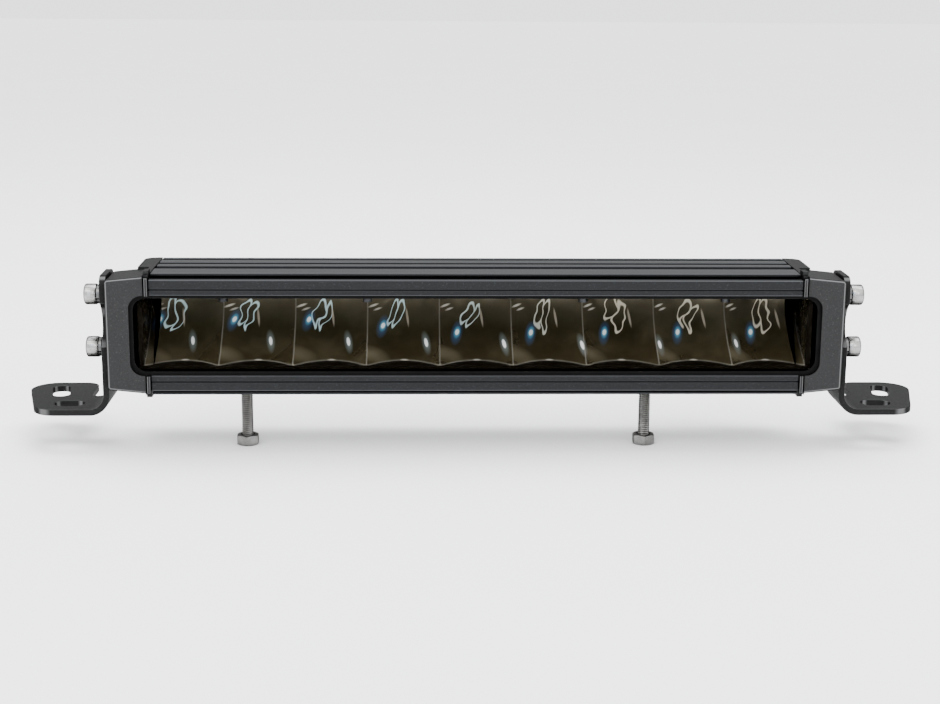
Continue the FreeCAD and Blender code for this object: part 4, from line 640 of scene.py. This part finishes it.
def housing_outline():
    """The C-shaped section. Each corner is depth, height and rounding."""
    lower_frame = [
        (8.2, -21, 0.1), (2.2, -21, 0.1), (2.2, -19.2, 0.2), (0, -19.2, 0.75),
        (0, -21.7, 0.2), (0.7, -21.8, 0.1), (0.7, -22.4, 0.1), (0, -22.5, 0.2), (0, -26.75, 0.9),
        (5.5, -26.75, 0.1), (5.5, -27.5, 0.1), (1.5, -27.5, 0.25), (1.5, -28.7, 0.8)]
    upper_frame = [
        (6.5, 28.7, 0.5), (6.5, 27.6, 0.3), (12.5, 27.6, 0.3), (12.5, 24.4, 0.3),
        (6.5, 24.4, 0.3), (6.5, 23.4, 0.15), (3.6, 23.4, 0.15), (3.6, 26.75, 0.35),
        (0, 26.75, 0.9), (0, 22.5, 0.2), (0.7, 22.4, 0.1), (0.7, 21.8, 0.1), (0, 21.7, 0.2),
        (0, 19.2, 0.75), (2.2, 19.2, 0.2), (2.2, 21, 0.1), (8.2, 21, 0.1)]
    grooves = []
    for rear, front in ((48.5, 44.5), (37.5, 33), (27.5, 20.5)):
        grooves += [(rear, 28.7, 0.6), (rear, 22.5, 0.7), (front, 22.5, 0.7), (front, 28.7, 0.6)]
    rear_face = [(51.5, -28.7, 0.9)]
    for low in (-1, 6, 13, 20):
        rear_face += [(51.5, low, 0.4), (49.5, low, 0.4), (49.5, low + 3.5, 0.4),
                      (51.5, low + 3.5, 0.4)]
    rear_face.append((51.5, 28.7, 0.9))
    channel = [(14.2, -28.7, 0.5), (14.2, -26.6, 0.1), (12.1, -26.6, 0.1), (12.1, -21.7, 0.2),
               (22.9, -21.7, 0.2), (22.9, -26.6, 0.1), (20.8, -26.6, 0.1), (20.8, -28.7, 0.5)]
    cavity = [(8.2, 19.5, 0.1), (27, 19.5, 0.2), (27, 14.6, 0.2), (47.5, 14.6, 0.5),
              (47.5, -19.7, 0.5), (40.6, -19.7, 0.2), (40.6, -26.2, 0.2), (25.5, -26.2, 0.2),
              (25.5, -19.7, 0.2), (8.2, -19.7, 0.1)]
    return lower_frame + channel + rear_face + grooves + upper_frame + cavity


def make_housing():
    """The extrusion, drawn from its section with every corner rounded."""
    shell = extrude_along_x("housing_shell", round_corners(housing_outline()),
                            HOUSING_LOW.x / MM, HOUSING_HIGH.x / MM)
    return place(shell, "housing", BODY_COAT)


# ---------------------------------------------------------------- lens

LENS_CORNER = 6
LENS_EDGE = 0.35


def make_lens():
    """Flat pane with rounded corners and a small bevel round its edge."""
    low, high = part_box("lens")
    half_x, half_z = high.x / MM, (high.z - low.z) / 2 / MM
    near, far = (low.y - FRONT) / MM, (high.y - FRONT) / MM
    inner = rounded_rectangle(half_x - LENS_EDGE, half_z - LENS_EDGE, LENS_CORNER - LENS_EDGE, 10)
    outer = rounded_rectangle(half_x, half_z, LENS_CORNER, 10)
    rings = ((near, inner), (near + LENS_EDGE, outer), (far - LENS_EDGE, outer), (far, inner))
    points = []
    for y, outline in rings:
        points += [(u * MM, FRONT + y * MM, LEVEL + v * MM) for u, v in outline]
    pane = make_object("lens_pane", points, ring_faces(len(rings), len(outer)))
    return place(pane, "lens", LENS)


# ---------------------------------------------------------------- reflector

DISH_AXIS = 12.4
DISH_VERTEX = 45.5
DISH_FOCAL_LENGTH = 6.6
DISH_FRONT = 6.2
COLUMN_STEPS = 28
ROW_STEPS = 44
END_WALL = 2.4
# (height, depth) down the back of the dishes, from the floor up
BACK_PROFILE = ((-17.4, 20.0), (-14.0, 27.0), (-8.0, 36.5), (-1.0, 42.7), (6.0, 46.3),
                (12.4, 46.3))


def dish_depth(across, height):
    """Depth of the paraboloid dish at a place in its cell, cut off at the moulding's front."""
    drop = height - DISH_AXIS
    depth = DISH_VERTEX - (across * across + drop * drop) / (4 * DISH_FOCAL_LENGTH)
    return max(depth, DISH_FRONT)


def back_depth(height):
    """Depth of the moulding's stepped back at a height."""
    for (low, near), (high, far) in zip(BACK_PROFILE, BACK_PROFILE[1:]):
        if height <= high:
            break
    return near + (far - near) * (height - low) / (high - low)


def dish_columns():
    """(place along X, distance from the cell's middle) of each column of dish points."""
    columns = []
    for cell in range(CELLS):
        middle = (cell - (CELLS - 1) / 2) * PITCH
        first = 0 if cell == 0 else 1
        for step in range(first, COLUMN_STEPS + 1):
            across = -PITCH / 2 + PITCH * step / COLUMN_STEPS
            columns.append((middle + across, across))
    return columns


def sheet_faces(columns, rows):
    """Faces of a front sheet and a back sheet of points, and the four edges between them."""
    faces = []
    back = columns * rows
    for column in range(columns - 1):
        top = column * rows
        low = top + rows - 1
        for a in range(top, low):
            b = a + rows
            faces.append((a, a + 1, b + 1, b))
            faces.append((back + a, back + b, back + b + 1, back + a + 1))
        faces.append((top, top + rows, back + top + rows, back + top))
        faces.append((low, back + low, back + low + rows, low + rows))
    for column in (0, columns - 1):
        for a in range(column * rows, column * rows + rows - 1):
            faces.append((a, back + a, back + a + 1, a + 1))
    return faces


def make_dishes():
    """Smooth half dishes side by side in one closed moulding."""
    columns = dish_columns()
    heights = [DISH_AXIS + (DISH_FLOOR - DISH_AXIS) * step / ROW_STEPS
               for step in range(ROW_STEPS + 1)]
    points = [(x, dish_depth(across, z), z) for x, across in columns for z in heights]
    points += [(x, back_depth(z), z) for x, across in columns for z in heights]
    points = [(x * MM, FRONT + y * MM, LEVEL + z * MM) for x, y, z in points]
    faces = sheet_faces(len(columns), len(heights))
    return place(make_object("reflector_dishes", points, faces, 28), "reflector", MIRROR)


def reflector_bar(name, section, steps, ends, material):
    """Part of the reflector with one section from end to end."""
    bar = extrude_along_x(name, round_corners(section, steps), *ends)
    return place(bar, "reflector", material)


def make_reflector_rim():
    """Floor lip, end walls and the sloping visor over the dishes."""
    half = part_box("reflector")[1].x / MM
    floor = [(6.2, -17.4, 0.3), (20, -17.4, 0.3), (24, -15.5, 0.1), (6.2, -15.5, 0.3)]
    visor = [(6.2, 19, 0.3), (6.2, 17.7, 0.3), (8, 17.6, 0.2), (27.4, 12.9, 0.1), (27.6, 14.2, 0.1),
             (8, 19, 0.2)]
    wall = [(6.9, -15.4, 0.2), (22, -15.4, 0.2), (27, -13.5, 0.2), (36.3, -8, 0.2),
            (42.5, -1, 0.2), (46.2, 6, 0.2), (46.2, 12.3, 0.2), (27.4, 12.3, 0.2),
            (27.4, 12.8, 0.1), (8, 17.5, 0.1), (6.9, 17.55, 0.1)]
    edge = [(6.2, -15.4, 0.1), (7, -15.4, 0.1), (7, 17.55, 0.1), (6.2, 17.6, 0.1)]
    # floor lip, visor and front edges in the painted shade copy, end walls in the painted light
    # copy
    reflector_bar("reflector_floor", floor, 3, (-half, half), SMOKE_IN_PAINTED_SHADE)
    reflector_bar("reflector_visor", visor, 3, (-half, half), SMOKE_IN_PAINTED_SHADE)
    for side, sign in SIDES:
        ends = sorted((sign * (half - END_WALL), sign * half))
        reflector_bar(f"reflector_end_{side}", wall, 3, ends, SMOKE_IN_PAINTED_LIGHT)
        reflector_bar(f"reflector_edge_{side}", edge, 2, ends, SMOKE_IN_PAINTED_SHADE)


# ---------------------------------------------------------------- studs and nuts

NUT_BORE = 3.0
NUT_COUNTERSINK = 0.5
NUT_FACE_SHARE = 0.96
NUT_CHAMFER = math.radians(30)
NUT_STEPS = 96
THREAD_RADIUS = 2.95
THREAD_PITCH = 1.0
THREAD_DEPTH = 0.6
THREAD_STEPS = 28
ROWS_PER_TURN = 4
POINT_LENGTH = 1.2
POINT_INSET = 0.35
STUD_HEAD = 4
STUD_HEAD_CORNER = 0.6


def hexagon_reach(flats, angle):
    """Distance from the middle to a hexagon's side in a direction."""
    sector = math.radians(60)
    local = (angle + sector / 2) % sector - sector / 2
    return flats / 2 / math.cos(local)


def nut_rings(flats, half):
    """(radius, height) round each ring of a nut, from its lower bore round to its upper one."""
    face = flats / 2 * NUT_FACE_SHARE
    slope = math.tan(NUT_CHAMFER)
    reaches = [hexagon_reach(flats - 0.02, angle) for angle in angles_round(NUT_STEPS)]
    lower = [[(radius, z)] * NUT_STEPS for radius, z in (
        (NUT_BORE, NUT_COUNTERSINK - half), (NUT_BORE + NUT_COUNTERSINK, -half), (face, -half))]
    lower.append([(reach, (reach - face) * slope - half) for reach in reaches])
    upper = [[(radius, -z) for radius, z in ring] for ring in reversed(lower)]
    return lower + upper


def make_nut(side):
    """Hexagon nut, chamfered on both faces, with a countersunk bore."""
    node = f"channel_nut_{side}"
    low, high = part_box(node)
    centre = (low + high) / 2
    rings = nut_rings((high.y - low.y) / MM, (high.z - low.z) / MM / 2)
    points = []
    for ring in rings:
        for angle, (radius, z) in zip(angles_round(NUT_STEPS), ring):
            spot = Vector((radius * math.cos(angle), radius * math.sin(angle), z))
            points.append(centre + spot * MM)
    nut = make_object(f"nut_{side}", points, ring_faces(len(rings), NUT_STEPS, loop=True), 25)
    return place(nut, node, NUT_STEEL)


def thread_reach(along, around):
    """Distance from a stud's axis to its thread. Around is the share of a turn."""
    phase = (along / THREAD_PITCH - around) % 1
    full = min(1, along / POINT_LENGTH)
    cut = THREAD_DEPTH * (1 - abs(2 * phase - 1)) * (0.4 + 0.6 * full)
    return THREAD_RADIUS - cut - POINT_INSET * (1 - full)


def make_stud(side):
    """Square-headed channel bolt with a rolled thread down its shank."""
    node = f"channel_bolt_{side}"
    low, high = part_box(node)
    centre = (low + high) / 2
    base = Vector((centre.x, centre.y, low.z))
    length = (high.z - low.z) / MM - STUD_HEAD
    rows = int(length / THREAD_PITCH) * ROWS_PER_TURN
    points = []
    for row in range(rows + 1):
        along = row * THREAD_PITCH / ROWS_PER_TURN
        for step, angle in enumerate(angles_round(THREAD_STEPS)):
            reach = thread_reach(along, step / THREAD_STEPS)
            spot = Vector((reach * math.cos(angle), reach * math.sin(angle), along))
            points.append(base + spot * MM)
    shank = make_object(f"stud_{side}", points, ring_faces(rows + 1, THREAD_STEPS), 40)
    place(shank, node, THREAD_STEEL)
    half = (high.x - low.x) / 2 / MM
    corners = rounded_rectangle(half, half, STUD_HEAD_CORNER, 3)
    rings = ((STUD_HEAD, 0.3), (STUD_HEAD - 0.3, 0), (0.6, 0), (0, 0.6))
    points = []
    for down, inset in rings:
        share = (half - inset) / half
        points += [Vector((centre.x + u * share * MM, centre.y + v * share * MM,
                           high.z - down * MM)) for u, v in corners]
    head = make_object(f"stud_head_{side}", points, ring_faces(len(rings), len(corners)))
    return place(head, node, STEEL)


# ---------------------------------------------------------------- bracket screws

HEAD_LENGTH = 6
HEAD_STEPS = 144
KNURL_DEPTH = 0.05
SOCKET_FLATS = 5.0
SHANK_LENGTH = 14
SPRING_WASHER = 1.6
PLAIN_WASHER = 1.3
WASHER_STEPS = 60
SPLIT_WIDTH = math.radians(9)
SPLIT_AT = math.radians(200)


def point_beside(centre, sign, along, reach, angle):
    """A point round an axis that runs out to one side through a centre."""
    local = Vector((sign * along, reach * math.cos(angle), reach * math.sin(angle)))
    return centre + local * MM


def head_reach(shape, size, step, angle):
    """Distance from a screw's axis to its surface: a radius, a knurl or a hexagon's side."""
    if shape == "hexagon":
        return hexagon_reach(size, angle)
    if shape == "knurl" and step % 4 < 2:
        return size - KNURL_DEPTH
    return size


def make_bracket_screw(kind, side, sign):
    """Socket head cap screw with a knurled head, and its washers."""
    node = f"{kind}_screws"
    low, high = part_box(node)
    outer = high.x / MM
    start = outer - HEAD_LENGTH
    centre = Vector((0, 0, (low.z + high.z) / 2))
    rings = ((start, "round", 4.75), (start + 0.25, "knurl", 5), (outer - 1.1, "knurl", 5),
             (outer - 0.6, "round", 4.87), (outer - 0.2, "round", 4.45), (outer, "round", 3.9),
             (outer, "round", 2.85), (outer - 0.3, "hexagon", SOCKET_FLATS),
             (outer - 3, "hexagon", SOCKET_FLATS), (outer - 3.6, "round", 0.6))
    points = []
    for along, shape, size in rings:
        for step, angle in enumerate(angles_round(HEAD_STEPS)):
            reach = head_reach(shape, size, step, angle)
            points.append(point_beside(centre, sign, along, reach, angle))
    head = make_object(f"{kind}_screw_head_{side}", points, ring_faces(len(rings), HEAD_STEPS), 50)
    place(head, node, STEEL)
    end = start - SHANK_LENGTH
    shank = lathe_piece(f"{kind}_screw_shank_{side}",
                        ((end, 2.5), (end + 0.5, 2.95), (start + 0.2, 2.95)),
                        centre, (sign, 0, 0), 32, closed=False)
    place(shank, node, STEEL)
    make_washers(kind, side, sign, centre, start)


def make_washers(kind, side, sign, centre, head_start):
    """Split spring washer under the head and a plain washer under that."""
    near = head_start - SPRING_WASHER
    section = ((0.05, 3.1), (SPRING_WASHER - 0.05, 3.1), (SPRING_WASHER - 0.05, 4.45),
               (SPRING_WASHER - 0.2, 4.6), (0.2, 4.6), (0.05, 4.45))
    points = []
    for step in range(WASHER_STEPS + 1):
        angle = SPLIT_WIDTH / 2 + (2 * math.pi - SPLIT_WIDTH) * step / WASHER_STEPS + SPLIT_AT
        for along, radius in section:
            points.append(point_beside(centre, sign, near + along, radius, angle))
    split = make_object(f"{kind}_spring_washer_{side}", points,
                        ring_faces(WASHER_STEPS + 1, len(section)), 30)
    # the darker steel copy: painted shade
    place(split, "spring_washers", WASHER_STEEL_IN_PAINTED_SHADE)
    far = near - PLAIN_WASHER
    flat = lathe_piece(f"{kind}_plain_washer_{side}",
                       ((far, 3.2), (far, 4.65), (far + 0.15, 4.8), (near - 0.25, 4.8),
                        (near - 0.05, 4.6), (near - 0.05, 3.2)),
                       centre, (sign, 0, 0), 64)
    # the darker steel copy: painted shade
    place(flat, "plain_washers", WASHER_STEEL_IN_PAINTED_SHADE)


# ---------------------------------------------------------------- the rest of the nodes

def make_rest():
    """Caps, brackets, seals and rear fittings redrawn from their nodes."""
    for side, _ in SIDES:
        reskin(f"end_cap_{side}", CAP_COAT)
        soften(f"bracket_{side}", 0.6, COAT, 4)
        soften(f"end_gasket_{side}", 0.1, RUBBER, 1)
    soften("lens_gasket", 0.15, RUBBER, 2)
    for node, width, material in (
            ("cable_gland_body", 0.4, NYLON), ("gland_cap_nut", 0.5, NYLON),
            ("gland_lock_nut", 0.3, NYLON), ("gland_seal", 0.3, RUBBER),
            ("vent_plug", 0.4, NYLON), ("end_cap_screws", 0.2, BLACK_STEEL)):
        soften(node, width, material)


def paint_inner_nodes():
    """Materials for the CAD nodes that stay as they are."""
    materials = {
        "led_board": circuit_board("led_board_mask", (0.012, 0.012, 0.013), (0.05, 0.05, 0.05)),
        "driver_board": circuit_board("driver_board_mask", (0.01, 0.07, 0.025),
                                      (0.03, 0.16, 0.06)),
        "thermal_pad": plastic("thermal_pad_silicone", (0.35, 0.4, 0.45), (0.7, 0.85), 900, 0.3),
        "led_emitters": plastic("led_phosphor", (0.5, 0.47, 0.3), (0.15, 0.3), 900, 0.05, 0.5,
                                (0.7, 0.68, 0.5)),
        "led_board_screws": BLACK_STEEL,
        "driver_screws": DULL_STEEL,
        "driver_spacers": BRASS,
        "threaded_inserts": BRASS,
        "driver_coils": plastic("ferrite", (0.03, 0.03, 0.032), (0.5, 0.7), 800, 0.3, 0.3,
                                (0.08, 0.05, 0.03)),
        "driver_capacitors": metal("capacitor_can", (0.55, 0.57, 0.6)),
        "driver_chips": plastic("chip_package", (0.012, 0.012, 0.013), (0.5, 0.6)),
        "terminal_block": plastic("terminal_block_green", (0.02, 0.16, 0.05)),
        "link_ribbon": circuit_board("ribbon_film", (0.3, 0.13, 0.02), (0.5, 0.25, 0.05)),
        "supply_leads": plastic("lead_insulation", (0.25, 0.012, 0.012), (0.4, 0.5)),
    }
    for node, material in materials.items():
        mesh = NODES[node].data
        mesh.materials.clear()
        mesh.materials.append(material)


# ---------------------------------------------------------------- studio

FLOOR_REACH = 6.0
HORIZON_LIGHT = 2.3
ZENITH_LIGHT = 3.2
SKY_COLOUR = (0.99, 0.995, 1.0, 1)
# name, place, target, width, height, power, colour
LIGHTS = (
    ("key", (-0.5, -0.9, 1.2), (0, 0, 0.04), 1.0, 0.6, 12, (1, 0.98, 0.95)),
    ("over", (0.1, 0.25, 1.1), (0, 0.02, 0.04), 1.4, 0.5, 20, (0.97, 0.98, 1)),
    ("glint_blue", (-0.25, -1.1, 0.45), (0, 0, 0.04), 0.05, 0.22, 1.5, (0.55, 0.75, 1.0)),
    ("glint_white", (0.22, -1.1, 0.6), (0, 0, 0.04), 0.05, 0.2, 1.5, (1, 1, 1)))
CAMERA_PLACE = (-0.02896, -0.80182, 0.21242)
CAMERA_LENS = 65.26
CAMERA_SENSOR = 36
CAMERA_PITCH = math.radians(12.917)
CAMERA_YAW = math.radians(1.8655)
CAMERA_ROLL = math.radians(0.4176)


def make_floor():
    """A plain pale floor under the object's lowest point."""
    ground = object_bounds()[0][2]
    corners = [(-FLOOR_REACH, -FLOOR_REACH, ground), (FLOOR_REACH, -FLOOR_REACH, ground),
               (FLOOR_REACH, FLOOR_REACH, ground), (-FLOOR_REACH, FLOOR_REACH, ground)]
    mesh = bpy.data.meshes.new("floor")
    mesh.from_pydata(corners, [], [(0, 1, 2, 3)])
    floor = bpy.data.objects.new("floor", mesh)
    bpy.context.scene.collection.objects.link(floor)
    paint = Paint("pale_floor")
    paint.colour(paint.ramp(paint.noise(8), 0.3, (0.86, 0.86, 0.86), 0.7, (0.88, 0.88, 0.88)))
    paint.set(Roughness=0.9)
    mesh.materials.append(paint.material)


def make_sky():
    """A white surround that is brighter overhead than at the horizon."""
    world = bpy.data.worlds.new("studio")
    bpy.context.scene.world = world
    world.use_nodes = True
    tree = world.node_tree
    coordinates = tree.nodes.new("ShaderNodeTexCoord")
    split = tree.nodes.new("ShaderNodeSeparateXYZ")
    rise = tree.nodes.new("ShaderNodeMapRange")
    rise.inputs["To Min"].default_value = HORIZON_LIGHT
    rise.inputs["To Max"].default_value = ZENITH_LIGHT
    tree.links.new(coordinates.outputs["Generated"], split.inputs["Vector"])
    tree.links.new(split.outputs["Z"], rise.inputs["Value"])
    background = tree.nodes["Background"]
    background.inputs["Color"].default_value = SKY_COLOUR
    tree.links.new(rise.outputs["Result"], background.inputs["Strength"])


def soft_light(name, spot, target, width, height, power, colour):
    """A rectangular soft box that faces a target."""
    lamp = bpy.data.lights.new(name, "AREA")
    lamp.shape = "RECTANGLE"
    lamp.size = width
    lamp.size_y = height
    lamp.energy = power
    lamp.color = colour
    holder = bpy.data.objects.new(name, lamp)
    holder.location = spot
    holder.rotation_euler = (Vector(target) - Vector(spot)).to_track_quat("-Z", "Y").to_euler()
    bpy.context.scene.collection.objects.link(holder)


def make_camera():
    """A long-lens camera a little to the left and above, turned slightly to the right."""
    view = bpy.data.cameras.new("camera")
    view.sensor_width = CAMERA_SENSOR
    view.lens = CAMERA_LENS
    holder = bpy.data.objects.new("camera", view)
    level = math.cos(CAMERA_PITCH)
    ahead = Vector((math.sin(CAMERA_YAW) * level, math.cos(CAMERA_YAW) * level,
                    -math.sin(CAMERA_PITCH)))
    right = Vector((math.cos(CAMERA_YAW), -math.sin(CAMERA_YAW), 0))
    up = right.cross(ahead)
    across = right * math.cos(CAMERA_ROLL) + up * math.sin(CAMERA_ROLL)
    upright = up * math.cos(CAMERA_ROLL) - right * math.sin(CAMERA_ROLL)
    turn = Matrix((across, upright, -ahead)).transposed()
    holder.matrix_world = Matrix.Translation(CAMERA_PLACE) @ turn.to_4x4()
    bpy.context.scene.collection.objects.link(holder)
    bpy.context.scene.camera = holder


make_housing()
make_lens()
make_dishes()
make_reflector_rim()
for side_name, side_sign in SIDES:
    make_nut(side_name)
    make_stud(side_name)
    for screw_kind in ("pivot", "clamp"):
        make_bracket_screw(screw_kind, side_name, side_sign)
make_rest()
paint_inner_nodes()
make_floor()
make_sky()
for light in LIGHTS:
    soft_light(*light)
make_camera()
